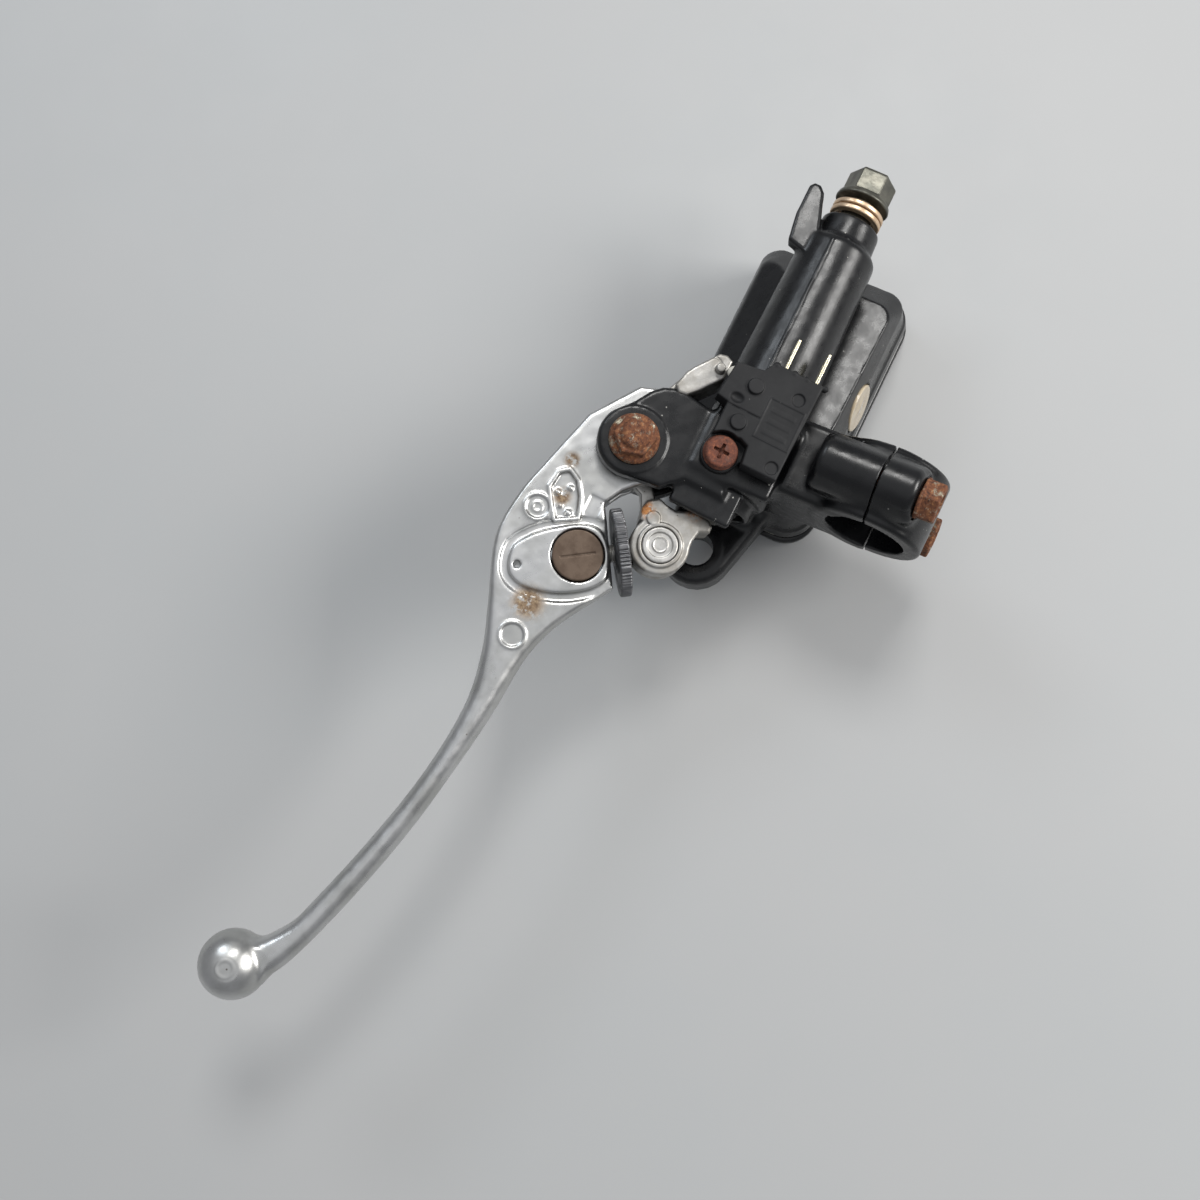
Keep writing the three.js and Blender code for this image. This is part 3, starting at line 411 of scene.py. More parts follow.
def finish(name, look):
    surface = bpy.data.materials.new(name)
    surface.use_nodes = True
    tree = surface.node_tree
    shader = tree.nodes["Principled BSDF"]
    coordinates = tree.nodes.new("ShaderNodeTexCoord").outputs["Object"]
    scaled = tree.nodes.new("ShaderNodeVectorMath")
    scaled.operation = "SCALE"
    scaled.inputs["Scale"].default_value = 1000.0
    tree.links.new(coordinates, scaled.inputs[0])
    place = scaled.outputs[0]
    patches = noise(tree, place, look.get("patchSize", 12), 4.0, 0.65)
    colour = tint(tree, ramp(tree, patches, 0.35, 0.65), look["colour"], look["patchColour"])
    rough = ramp(tree, noise(tree, place, look.get("sheenSize", 5), 5.0, 0.7), 0.3, 0.7, *look["roughness"])
    metal = look.get("metallic", 0.0)
    metalShare = None
    curve = tree.nodes.new("ShaderNodeNewGeometry").outputs["Pointiness"]
    fine = noise(tree, place, look.get("grainSize", 0.8), 6.0, 0.6)
    bumps = fine
    if "worn" in look:                                # bare edges
        amount = maths(tree, "MULTIPLY", ramp(tree, curve, *look["wornCurve"]),
                       ramp(tree, noise(tree, place, 4.0, 5.0, 0.7), 0.42, 0.62))
        colour = tint(tree, amount, colour, look["worn"])
    if "grime" in look:                               # dirt kept in the hollows
        amount = maths(tree, "MULTIPLY", ramp(tree, curve, *look["grimeCurve"], 1.0, 0.0),
                       ramp(tree, noise(tree, place, 6.0, 5.0, 0.7), 0.3, 0.6))
        colour = tint(tree, amount, colour, look["grime"])
        rough = maths(tree, "MAXIMUM", rough, maths(tree, "MULTIPLY", amount, 0.7))
    if "pits" in look:                                # small dark pores
        pores = tree.nodes.new("ShaderNodeTexVoronoi")
        pores.inputs["Scale"].default_value = 1 / look.get("pitSpacing", 3.0)
        tree.links.new(place, pores.inputs["Vector"])
        spot = ramp(tree, pores.outputs["Distance"], 0.03, 0.11, 1.0, 0.0)
        amount = maths(tree, "MULTIPLY", spot, ramp(tree, noise(tree, place, 9.0, 2.0), 0.5, 0.6))
        colour = tint(tree, amount, colour, look["pits"])
    if "flecks" in look:                              # dust and light specks
        specks = tree.nodes.new("ShaderNodeTexVoronoi")
        specks.inputs["Scale"].default_value = 1 / look.get("fleckSpacing", 2.2)
        tree.links.new(place, specks.inputs["Vector"])
        size = ramp(tree, noise(tree, place, 3.0, 3.0), 0.45, 0.7, 0.0, 0.16)
        spot = maths(tree, "LESS_THAN", specks.outputs["Distance"], size)
        amount = maths(tree, "MULTIPLY", spot,
                       ramp(tree, noise(tree, place, 14.0, 2.0), 0.47, 0.6, 0.0, 0.75))
        colour = tint(tree, amount, colour, look["flecks"])
    if "rust" in look:
        coat = noise(tree, place, look.get("rustSize", 2.6), 6.0, 0.72)
        share = ramp(tree, coat, *look["rustLevel"])
        for spot in look.get("rustAt", []):
            share = maths(tree, "MAXIMUM", share, maths(
                tree, "MULTIPLY", nearSpot(tree, place, spot[:3], spot[3]), ramp(tree, coat, 0.38, 0.5)))
        shade = noise(tree, place, 1.1, 6.0, 0.75)
        deep, mid, bright = look["rust"]
        rusty = tint(tree, ramp(tree, shade, 0.35, 0.52), deep, mid)
        rusty = tint(tree, ramp(tree, shade, 0.52, 0.68), rusty, bright)
        colour = tint(tree, share, colour, rusty)
        rough = maths(tree, "MAXIMUM", rough, maths(tree, "MULTIPLY", share, 0.82))
        metalShare = maths(tree, "MULTIPLY", maths(tree, "SUBTRACT", 1.0, share), metal)
        bumps = maths(tree, "ADD", fine, maths(tree, "MULTIPLY", maths(tree, "MULTIPLY", share, shade),
                                               look.get("rustBump", 2.0)))
    tree.links.new(colour, shader.inputs["Base Color"])
    tree.links.new(rough, shader.inputs["Roughness"])
    if metalShare is None:
        shader.inputs["Metallic"].default_value = metal
    else:
        tree.links.new(metalShare, shader.inputs["Metallic"])
    shader.inputs["Specular IOR Level"].default_value = look.get("specular", 0.5)
    shader.inputs["Coat Weight"].default_value = look.get("coat", 0.0)
    shader.inputs["Coat Roughness"].default_value = look.get("coatRoughness", 0.2)
    shader.inputs["Transmission Weight"].default_value = look.get("clear", 0.0)
    bump = tree.nodes.new("ShaderNodeBump")
    bump.inputs["Strength"].default_value = look.get("bumpStrength", 0.3)
    bump.inputs["Distance"].default_value = look.get("bumpDepth", 0.00004)
    tree.links.new(bumps, bump.inputs["Height"])
    tree.links.new(bump.outputs["Normal"], shader.inputs["Normal"])
    return surface


def leverSpot(x, y, z, radius):
    return (*(leverFrame @ Vector((x, y, z))), radius)


rustTones = ((0.045, 0.016, 0.009), (0.15, 0.052, 0.021), (0.33, 0.15, 0.06))
blackPaint = finish("blackPaint", dict(
    colour=(0.003, 0.0032, 0.0038), patchColour=(0.0055, 0.0057, 0.0065), roughness=(0.24, 0.36),
    specular=0.42, coat=0.05, coatRoughness=0.2, worn=(0.20, 0.20, 0.20), wornCurve=(0.575, 0.66),
    flecks=(0.42, 0.41, 0.38), grainSize=0.7, bumpStrength=0.25, bumpDepth=0.00003))
leverAluminium = finish("leverAluminium", dict(
    colour=(0.62, 0.62, 0.615), patchColour=(0.50, 0.50, 0.485), metallic=1.0, roughness=(0.26, 0.38),
    sheenSize=7, grime=(0.16, 0.13, 0.095), grimeCurve=(0.40, 0.475), pits=(0.08, 0.06, 0.045),
    pitSpacing=3.4, rust=((0.10, 0.06, 0.035), (0.22, 0.15, 0.09), (0.36, 0.28, 0.18)), rustLevel=(0.80, 0.9),
    rustAt=[ leverSpot(-50.5, 33.5, 5, 6.5), leverSpot(-21, 38, 5, 3.5), leverSpot(-11, 40, 5, 3.0)],
    grainSize=1.6, bumpStrength=0.2, rustBump=0.2))
knockerAluminium = finish("knockerAluminium", dict(
    colour=(0.42, 0.41, 0.39), patchColour=(0.29, 0.275, 0.25), metallic=0.9, roughness=(0.34, 0.55),
    patchSize=5, grime=(0.12, 0.09, 0.06), grimeCurve=(0.42, 0.49), pits=(0.07, 0.05, 0.035), pitSpacing=2.2,
    rust=((0.16, 0.06, 0.02), (0.36, 0.15, 0.045), (0.52, 0.27, 0.10)), rustLevel=(0.74, 0.84),
    rustAt=[ leverSpot(-14.2, 16.4, 4.9, 3.4), leverSpot(-8.6, 4.4, 4.9, 3.6), leverSpot(30, 21, 2.5, 5.0)],
    grainSize=1.0, bumpStrength=0.35, bumpDepth=0.00006))
rustySteel = finish("rustySteel", dict(
    colour=(0.30, 0.26, 0.19), patchColour=(0.48, 0.44, 0.34), metallic=0.7, roughness=(0.4, 0.6),
    patchSize=3, rust=rustTones, rustLevel=(0.34, 0.46), rustSize=3.4, rustAt=[leverSpot(0, pivotY, 17, 6.6)],
    bumpStrength=0.8, bumpDepth=0.00012))
redRust = finish("redRust", dict(
    colour=(0.08, 0.030, 0.020), patchColour=(0.11, 0.048, 0.030), metallic=0.2, roughness=(0.5, 0.7),
    patchSize=3, rust=((0.05, 0.018, 0.012), (0.13, 0.040, 0.022), (0.26, 0.085, 0.038)),
    rustLevel=(0.25, 0.5), bumpStrength=0.6, bumpDepth=0.00008))
oliveSteel = finish("oliveSteel", dict(
    colour=(0.085, 0.084, 0.070), patchColour=(0.15, 0.145, 0.12), metallic=0.75, roughness=(0.3, 0.46),
    patchSize=4, rust=rustTones, rustLevel=(0.70, 0.80), worn=(0.32, 0.30, 0.25), wornCurve=(0.56, 0.66)))
brightSteel = finish("brightSteel", dict(
    colour=(0.56, 0.55, 0.53), patchColour=(0.40, 0.39, 0.37), metallic=0.9, roughness=(0.34, 0.5),
    patchSize=4, pits=(0.1, 0.08, 0.06), grainSize=0.6))
washerCopper = finish("washerCopper", dict(
    colour=(0.72, 0.55, 0.39), patchColour=(0.60, 0.43, 0.28), metallic=0.8, roughness=(0.3, 0.48),
    patchSize=3, pits=(0.15, 0.09, 0.05), pitSpacing=1.6))
barrelBronze = finish("barrelBronze", dict(
    colour=(0.095, 0.064, 0.045), patchColour=(0.135, 0.096, 0.070), metallic=0.6, roughness=(0.42, 0.58),
    patchSize=4, grime=(0.035, 0.026, 0.02), grimeCurve=(0.42, 0.485), rust=rustTones, rustLevel=(0.74, 0.9),
    grainSize=0.5))
dialSteel = finish("dialSteel", dict(
    colour=(0.11, 0.112, 0.118), patchColour=(0.17, 0.17, 0.175), metallic=0.8, roughness=(0.38, 0.55),
    patchSize=3, worn=(0.30, 0.30, 0.31), wornCurve=(0.54, 0.64), rust=rustTones, rustLevel=(0.78, 0.88)))
switchPlastic = finish("switchPlastic", dict(
    colour=(0.009, 0.0092, 0.0102), patchColour=(0.014, 0.0142, 0.0152), roughness=(0.5, 0.65), specular=0.28,
    flecks=(0.34, 0.34, 0.33), fleckSpacing=2.8, worn=(0.12, 0.12, 0.12), wornCurve=(0.57, 0.68),
    grainSize=0.4, bumpStrength=0.35, bumpDepth=0.00004))
terminalTin = finish("terminalTin", dict(
    colour=(0.86, 0.80, 0.60), patchColour=(0.78, 0.71, 0.50), metallic=0.9, roughness=(0.2, 0.36),
    patchSize=3))
softRubber = finish("softRubber", dict(
    colour=(0.012, 0.012, 0.012), patchColour=(0.022, 0.021, 0.02), roughness=(0.6, 0.8), specular=0.35,
    flecks=(0.2, 0.19, 0.17)))
agedGlass = finish("agedGlass", dict(
    colour=(0.62, 0.52, 0.37), patchColour=(0.48, 0.38, 0.25), roughness=(0.12, 0.3), coat=0.6,
    coatRoughness=0.08, patchSize=5, clear=0.15))
palePlastic = finish("palePlastic", dict(
    colour=(0.66, 0.64, 0.57), patchColour=(0.58, 0.55, 0.47), roughness=(0.4, 0.55), grainSize=0.6))
print("finishes ready")

# Master body and clamp cap
body = dict(
    bore=6.5, barrel=12.3, barrelStart=-4.5, barrelEnd=79, portFace=84.3, boreEnd=68, portHole=5.3,
    tubStart=4, tubEnd=85, tubHalf=23.6, rim=-36, floor=-8, floorStart=10, floorEnd=68, floorHalf=19,
    corner=9, floorCorner=4, collar=8.9, barrelEndRadius=10.9, wall=3, insideFloor=-15, shoulderShare=0.3,
    shoulderHeight=-19.2, lidScrewInset=8, pocketFloor=((15, -16, -8), (-0.07, -0.03, -0.997)),
    leverSideSlope=((0, 12.2, -8.6), (0, -0.56, -0.83)), ear=(5.9, 11.5), earSeat=11.9, earRadius=9.7,
    earSeatRadius=9.4, pivotHole=4.3, switchHole=(6.1, 5.8, 2.2),
    housing=((0.5, -11.5, -12.4), (22, 11.5, 12.4)), hood=((-9.8, -5.0, 6.7), (3, 12.4, 9.9)),
    mouthRadius=9.8, recessRadius=8.4, recessDepth=8.5, collarSeat=7.0, feedHole=(58, 1.2),
    glass=(45, -22, 7.5), glassRim=2, mirror=(-12.7, 2.5, 5.0, 10.5), mirrorLevels=(-33, -21),
    lidScrewHole=2.3, lidScrewPost=4.6, hoseStopLevels=(3.6, 8.4),
    hoseStop=[
        (68, 4), (80, 7.4), (84.5, 9.0), (87.2, 9.8), (89.0, 11.6), (89.1, 13.4), (87.8, 14.5), (79, 14.5),
        (71, 13.2)])
clamp = dict(
    start=5.5, end=27, bar=11.1, outer=15.5, boltOffset=15.9, boss=7, bossStart=17, seat=-10.5, split=0.2,
    boltHole=3.3, seatRadius=6.2, lockNotch=(6.6, 3.4))
boltX = (clamp["start"] + clamp["end"]) / 2


def tubSection(z, inset):
    share = np.interp(z, [body["rim"], body["shoulderHeight"], body["floor"]], [0, body["shoulderShare"], 1])
    start = body["tubStart"] + (body["floorStart"] - body["tubStart"]) * share + inset
    end = body["tubEnd"] + (body["floorEnd"] - body["tubEnd"]) * share - inset
    half = body["tubHalf"] + (body["floorHalf"] - body["tubHalf"]) * share - inset
    return start, end, half


def tray(bottom, top, inset, edge):
    def distance(x, y, z):
        start, end, half = tubSection(z, inset)
        corner = np.interp(z, [body["rim"], body["floor"]],
                           [body["corner"], body["floorCorner"]]) - inset * 0.6
        qx = np.abs(x - (start + end) / 2) - ((end - start) / 2 - corner)
        qy = np.abs(y) - (half - corner)
        side = np.sqrt(np.maximum(qx, 0) ** 2 + np.maximum(qy, 0) ** 2) + np.minimum(np.maximum(qx, qy),
                                                                                     0) - corner
        return roundedMeet(side * 0.93, np.abs(z - (bottom + top) / 2) - (top - bottom) / 2, edge)

    low = np.array([body["tubStart"] + inset, -body["tubHalf"] + inset, bottom])
    return distance, low, np.array([body["tubEnd"] - inset, body["tubHalf"] - inset, top])


def lidScrewPlaces():
    inset = body["lidScrewInset"]
    return [(body["tubStart"] + inset, body["tubHalf"] - inset),
            (body["tubEnd"] - inset, -body["tubHalf"] + inset)]


def earOutline():
    r = body["earRadius"]
    return [(16, 0), (16.8, 13), (18.0, 20.8), (17.6, 24.0), (16.4, 26.8), (14, 29.3), (9.6, 32.0),
            *arc(0, pivotY, r, 62, 196, 16), (-8.2, 15.8), (-6.0, 13.4), (-3.5, 11), (-3.5, 0)]


def clampShapes():
    seat, offset, boss, bossStart = clamp["seat"], clamp["boltOffset"], clamp["boss"], clamp["bossStart"]
    bosses = [add(inClamp(rod((boltX, seat, side), (boltX, bossStart, side), boss, edge=2.4)), 4.0)
              for side in (offset, -offset)]
    web = block((boltX - boss, seat, -offset), (boltX + boss, bossStart, offset), 1)
    return [
        add(inClamp(rod((clamp["start"], 0, 0), (clamp["end"], 0, 0), clamp["outer"], edge=1.2)), 2.0),
        add(inClamp(web), 2.0), *bosses]


def clampCuts():
    sides = (clamp["boltOffset"], -clamp["boltOffset"])
    holes = [cut(inClamp(rod((boltX, -30, side), (boltX, clamp["bossStart"] - 3, side), clamp["boltHole"])))
             for side in sides]
    seats = [cut(inClamp(rod((boltX, -30, side), (boltX, clamp["seat"], side), clamp["seatRadius"],
                             edge=0.3)))
             for side in sides]
    return [cut(inClamp(rod((-1, 0, 0), (36, 0, 0), clamp["bar"], edge=0.1)), 0.5), *holes, *seats]


def masterBody():
    low, high = body["ear"]
    glassX, glassZ, glassRadius = body["glass"]
    glassY, rim = -tubSection(glassZ, 0)[2], body["glassRim"]
    mirrorX, mirrorY, mirrorHole, mirrorRadius = body["mirror"]
    mirrorLow, mirrorTop = body["mirrorLevels"]
    mouth, portFace, hole = body["barrelStart"], body["portFace"], body["portHole"]
    barrelEnd, boreEnd, collar = body["barrelEnd"], body["boreEnd"], body["collar"]
    outer, earSeat, seatRadius = clamp["outer"], body["earSeat"], body["earSeatRadius"]
    glassFront, glassBack = (glassX, glassY - 4, glassZ + 0.7), (glassX, glassY + 1.2, glassZ - 0.2)
    mirrorArm = link(body["tubStart"] + 8, 0, 14, mirrorX, mirrorY, mirrorRadius)
    feedX, feedRadius = body["feedHole"]
    switchHoleX, switchHoleY, switchHoleRadius = body["switchHole"]
    steps = [
        add(tray(body["rim"], body["floor"], 0, 1.6)),
        cut(flat(*body["pocketFloor"], (0, -30, -16), (90, -10, -4)), 0.3),
        add(tray(body["rim"], body["rim"] + 5.5, -0.55, 0.5), 0.5),
        cut(flat(*body["leverSideSlope"], (0, 10, -24), (90, 26, -6)), 0.8),
        add(rod((0.2, 0, 0), (22, 0, 0), body["barrel"], edge=1.0), 1.6),
        add(rod((21, 0, 0), (barrelEnd - 1.4, 0, 0), body["barrel"], body["barrelEndRadius"], 3.2), 1.6),
        add(rod((barrelEnd - 3, 0, 0), (portFace, 0, 0), collar, collar - 0.5, 0.7), 0.9),
        add(inLever(block(*body["housing"], 1.4)), 2.0),
        add(rod((mouth, 0, 0), (3, 0, 0), body["mouthRadius"], edge=0.6), 0.5),
        add(inLever(block(*body["hood"], 0.8)), 0.5),
        add(inLever(plate(earOutline(), low, high, 1.3)), 2.2),
        add(inLever(plate(earOutline(), -high, -low, 1.3)), 2.2),
        add(inLever(disc(0, pivotY, high - 1, earSeat, seatRadius, seatRadius - 0.4, edge=0.35)), 0.5),
        add(inLever(disc(0, pivotY, -earSeat, 1 - high, seatRadius - 0.4, seatRadius, edge=0.35)), 0.5),
        add(inClamp(block((clamp["start"], 0, -outer), (clamp["end"], -barY - 6, 9.5), 2.2)), 3.0),
        *clampShapes(),
        add(plate(mirrorArm, mirrorLow, mirrorTop, 2.4), 2.5),
        add(disc(mirrorX, mirrorY, mirrorTop - 3, mirrorTop, 8.2, 7.8, edge=0.6), 0.8),
        add(block((mouth + 4, -8, mirrorTop - 4), (body["tubStart"] + 8, 8, 0), 1.5), 3.0),
        add(plate(body["hoseStop"], *body["hoseStopLevels"], 0.8), 0.9),
        add(rod((22, 1.6, 12.1), (75, 1.6, 10.85), 0.3, edge=0.2), 0.5),     # line left by the mould
        cut(without(tray(body["rim"] - 8, body["insideFloor"], body["wall"], 1.5),
                    *[disc(x, y, body["rim"], body["insideFloor"] + 3, body["lidScrewPost"])
                      for x, y in lidScrewPlaces()])),
        add(rod((glassX, glassY + 3.6, glassZ - 0.6), glassBack, glassRadius + rim)),
        cut(rod(glassFront, (glassX, glassY + 2.6, glassZ - 0.45), glassRadius, edge=0.1)),
        cut(rod(glassFront, (glassX, glassY + 9, glassZ - 1.5), glassRadius - rim, edge=0.1)),
        cut(rod((mouth - 2, 0, 0), (boreEnd, 0, 0), body["bore"], edge=0.1), 0.3),
        cut(rod((mouth - 2, 0, 0), (mouth + body["recessDepth"], 0, 0), body["recessRadius"], edge=0.2), 0.4),
        cut(rod((boreEnd - 1, 0, 0), (portFace + 1, 0, 0), hole, edge=0.1)),
        cut(rod((portFace - 0.9, 0, 0), (portFace + 1.2, 0, 0), hole, body["collarSeat"], edge=0.1)),
        cut(rod((feedX, 0, -16), (feedX, 0, -3), feedRadius)),
        cut(disc(mirrorX, mirrorY, mirrorLow - 2, mirrorTop + 6, mirrorHole), 0.6),
        cut(inLever(disc(0, pivotY, -16, 16, body["pivotHole"])), 0.3),
        cut(inLever(disc(switchHoleX, switchHoleY, 6, 18, switchHoleRadius)), 0.2),
        cut(inClamp(block((0, -30, -30), (32, clamp["split"], 30), 0.1))),
        *clampCuts(),
        cut(inClamp(plate(arc(clamp["start"], *clamp["lockNotch"], 0, 360, 24)[:-1], 2.5, 6.5)), 0.5),
    ]
    steps += [cut(disc(x, y, body["rim"] - 2, body["rim"] + 12, body["lidScrewHole"])) for x,
              y in lidScrewPlaces()]
    return sculpt("masterBodyCasting", cylinderFrame, steps, 0.42, skin=0.035)


def clampCap():
    steps = [*clampShapes(), cut(inClamp(block((0, -clamp["split"], -40), (34, 40, 40), 0.1))), *clampCuts()]
    return sculpt("clampCapCasting", cylinderFrame, steps, 0.3, skin=0.03)


finishPiece(masterBody(), "body", "black_paint", blackPaint, "master_body")
finishPiece(clampCap(), "body", "black_paint", blackPaint, "clamp_cap")

# Reservoir lid, sight glass and lid screws
lid = dict(bottom=-42.3, top=-38.9, overhang=1.0, headRadius=4.3, headDepth=2.7)


def reservoirLid():
    places = lidScrewPlaces()
    steps = [
        add(tray(lid["bottom"], lid["top"], -lid["overhang"], 1.1)),
        cut(tray(lid["bottom"] - 3, lid["bottom"] + 0.5, 7.5, 0.4), 0.4),
        *[add(disc(x, y, lid["bottom"], lid["top"] - 0.5, 6.4, edge=0.4), 0.5) for x, y in places],
        *[cut(disc(x, y, lid["bottom"] - 1, lid["bottom"] + lid["headDepth"], lid["headRadius"])) for x,
          y in places],
        *[cut(disc(x, y, lid["bottom"] - 1, lid["top"] + 1, 2.3)) for x, y in places]]
    return sculpt("reservoirLidCasting", cylinderFrame, steps, 0.35, skin=0.02)


def crossHeadScrew(name, x, y, seatZ, headTop, shankEnd, radius, frameMatrix):
    up = 1 if headTop > seatZ else -1
    foot, crown = (radius, radius * 0.84) if up > 0 else (radius * 0.84, radius)
    low, high = min(seatZ, headTop), max(seatZ, headTop)
    shank = sorted((seatZ, shankEnd))
    slot = sorted((headTop - up * 1.3, headTop + up))
    steps = [
        add(disc(x, y, low, high, foot, crown, edge=0.7)),
        add(disc(x, y, *shank, 1.9)),
        cut(block((x - 2.1, y - 0.42, slot[0]), (x + 2.1, y + 0.42, slot[1]), 0.12), 0.15),
        cut(block((x - 0.42, y - 2.1, slot[0]), (x + 0.42, y + 2.1, slot[1]), 0.12), 0.15),
        cut(disc(x, y, slot[0] - 0.2, slot[1], 0.8), 0.2)]
    return sculpt(name, frameMatrix, steps, 0.12, skin=0.015)


def sightGlass():
    x, z, radius = body["glass"]
    y = -tubSection(z, 0)[2]
    steps = [add(rod((x, y + 2.4, z - 0.4), (x, y - 0.35, z + 0.06), radius - 0.35, edge=0.5)),
             add(ball((x, y + 1.0, z), 4.2, (1, 0.35, 1)), 0.5)]
    return sculpt("sightGlassLens", cylinderFrame, steps, 0.2)


finishPiece(reservoirLid(), "body", "black_paint", blackPaint, "reservoir_lid")
finishPiece(sightGlass(), "body", "aged_clear_plastic", agedGlass, "sight_glass")
for number, (x, y) in enumerate(lidScrewPlaces(), 1):
    screw = crossHeadScrew(f"lidScrew{number}", x, y, -39.9, -42.1, -25, 4, cylinderFrame)
    finishPiece(screw, "body", "dark_steel", oliveSteel, f"lid_screw_{number}")

# Lever blade
lever = dict(
    half=5.6, ball=(-167.6, 59.6), ballRadius=9.0, barrel=(-33.5, 27.3), barrelHole=7.2, bushHole=5.7,
    padTop=6.15, castMarks=[(-26.5, 42.7, 3.4), (-60.1, 33.4, 3.4)], wireHole=(-42.8, 40.6, 1.0),
    knockerSlot=2.8, markDepth=0.75,
    bumps=[
        (-20.5, 39.6, 0.9, 1.0), (-23.4, 37.6, 0.95, 0.9), (-24.3, 34.6, 0.95, 1.1), (-18.0, 37.0, 1.0, 0.9)])
ballX, ballY = lever["ball"]
leverFront = [
    (2.6, 41.6), (-13.5, 46), (-25, 48.8), (-38.5, 49.2), (-56, 42.7), (-68, 38.6), (-83, 36.4), (-104, 38.3),
    (-126, 43.2), (-144, 48.4), (-152, 51.3), (-160.6, 57.6)]
leverRear = [
    (-168, 51.2), (-161.6, 47.4), (-150.6, 43.3), (-134.8, 38.6), (-118, 34.5), (-102.6, 31.8), (-82, 28.9),
    (-66, 27.8), (-56.5, 25.6), (-48.7, 22), (-37, 15)]
leverHub = [
    (-21.6, 24.4), (-17.6, 27), (-12.5, 24.2), (-9.5, 21.5), (-7, 18.5), (7, 18.2), (13, 20), (17.4, 27.6),
    (15.6, 32.6)]
leverPad = [
    (-33.6, 40.8), (-29.8, 36.7), (-25.6, 30.5), (-24.4, 26.4), (-25.6, 23.0), (-29.6, 19.7), (-34.8, 17.6),
    (-38.2, 18.6), (-42.0, 22.3), (-45.6, 28.6), (-47.4, 36.0), (-46.6, 40.6), (-43.7, 43.0), (-38.6, 43.8)]
leverPocket = [
    (-15.6, 41.4), (-20.1, 42.0), (-24.2, 39.3), (-27.4, 37.0), (-24.4, 32.0), (-19, 33.9), (-15.5, 36.4),
    (-13.9, 39.3)]


knocker = dict(
    pin=(-21.2, 8.9), eye=8.1, eyeHalf=6.0, half=2.5, noseHalf=5.5, pinHole=5.05, screwHole=3.5, eyeStep=6.1,
    tabTop=12.0, lug=(27.2, 15.4, 1.3, 14.4), peg=(-15.4, 13.6, 1.9), webRadius=8)


def leverEdge(x):
    # rounding of the blade's edges, full towards the ball and sharp at the hub
    return np.interp(x, [-168, -152, -120, -75, -58, -44, 0], [4.4, 3.6, 4.3, 4.0, 2.6, 1.5, 1.2])


def towardsPin(distanceFromPin):
    pinX, pinY = knocker["pin"]
    length = math.hypot(pinX - lever["barrel"][0], pinY - lever["barrel"][1])
    ux, uy = (pinX - lever["barrel"][0]) / length, (pinY - lever["barrel"][1]) / length
    return pinX - ux * distanceFromPin, pinY - uy * distanceFromPin, 0


def leverBlade():
    outline = [*curveThrough(leverFront, 5), *curveThrough(leverRear, 5), *leverHub]
    half, top = lever["half"], lever["half"] - 0.35
    barrelX, barrelY = lever["barrel"]
    slot, depth = lever["knockerSlot"], lever["markDepth"]
    pad = curveThrough([*leverPad, leverPad[0]], 4)[:-1]
    wireX, wireY, wireRadius = lever["wireHole"]
    steps = [
        add(plate(outline, -half, top, leverEdge)),
        add(ball((ballX, ballY, 0), lever["ballRadius"], (1, 1, 0.95)), 2.2),
        cut(plate(pad, top - depth, top + 3, 0.3, corner=1.9), 1.1),
        add(plate(pad, 0, lever["padTop"], 0.8, corner=-0.2), 0.7),
        add(plate(leverPocket, top - 1, top + 0.35, 0.3, corner=0.9), 0.4),
        cut(plate(leverPocket, top - depth, top + 2, 0.4, corner=-0.2), 0.5),
        *[add(ball((x, y, top - sunk), radius), 0.4) for x, y, sunk, radius in lever["bumps"]],
        cut(block((-22.8, 27.2, top - 0.35), (-17.0, 31.2, top + 2), 0.3), 0.5),
    ]
    for x, y, radius in lever["castMarks"]:
        steps += [add(ring(x, y, top - 0.6, top + 0.3, radius - 0.25, radius + 0.45, 0.25), 0.35),
                  cut(disc(x, y, top - 0.15, top + 1, radius - 0.5), 0.2)]
    steps += [
        add(ring(*lever["castMarks"][0][:2], top - 0.5, top + 0.1, 1.0, 1.6), 0.2),
        cut(disc(ballX, ballY + 0.4, 8.1, 9, 3.3), 0.15),
        add(ring(ballX, ballY + 0.4, 7.6, 8.35, 1.9, 2.4, 0.15), 0.15),
        cut(disc(0, pivotY, -slot, slot, 16, edge=0.2)),
        cut(block((-13, 10, -slot), (30, 60, slot), 0.2)),
        cut(disc(0, pivotY, -20, 20, lever["bushHole"])),
        cut(disc(barrelX, barrelY, -20, 20, lever["barrelHole"])),
        cut(disc(barrelX, barrelY, lever["padTop"] - 0.35, 20, lever["barrelHole"],
                 lever["barrelHole"] + 2.5)),
        cut(rod((barrelX, barrelY, 0), towardsPin(0), knocker["screwHole"])),
        cut(disc(wireX, wireY, -20, 20, wireRadius), 0.2),
    ]
    return sculpt("leverCasting", leverFrame, steps, 0.36, skin=0.03)


finishPiece(leverBlade(), "lever", "cast_aluminium", leverAluminium, "lever_blade")

# Knocker with the finger that works the brake light switch
knockerWeb = [
    (8, pivotY - 1.5), *arc(0, pivotY, knocker["webRadius"], -10, 190, 16), (-10.5, 19.5), (-14.5, 17.4),
    (-19, 12), (-14, 4), (-11.3, 9), (-11, 14.5), (-5.5, 19), *arc(0, pivotY, 9, -122, -62, 6)]
knockerFace = [
    (-9.6, 14.6), (-11.8, 16.9), (-14.1, 17.5), (-17.4, 16.8),
    *arc(*knocker["pin"], knocker["eye"], 62, 290, 20), (-16.4, 1.5), (-13.4, 0.9), (-12.2, -1.6),
    (-10.4, -1.6), (-9.2, 0), (-8.8, 3), (-9.4, 6.2), (-10.8, 9), (-10.4, 12)]
knockerFinger = [
    (4, 21), (14, 21), (18.4, 20.2), (21.6, 17.6), (24.6, 14.4), (28, 13.9), (31.5, 14.0), (33.4, 15.8),
    (33.0, 18.2), (24, 23.4), (14, 28), (4, 30)]

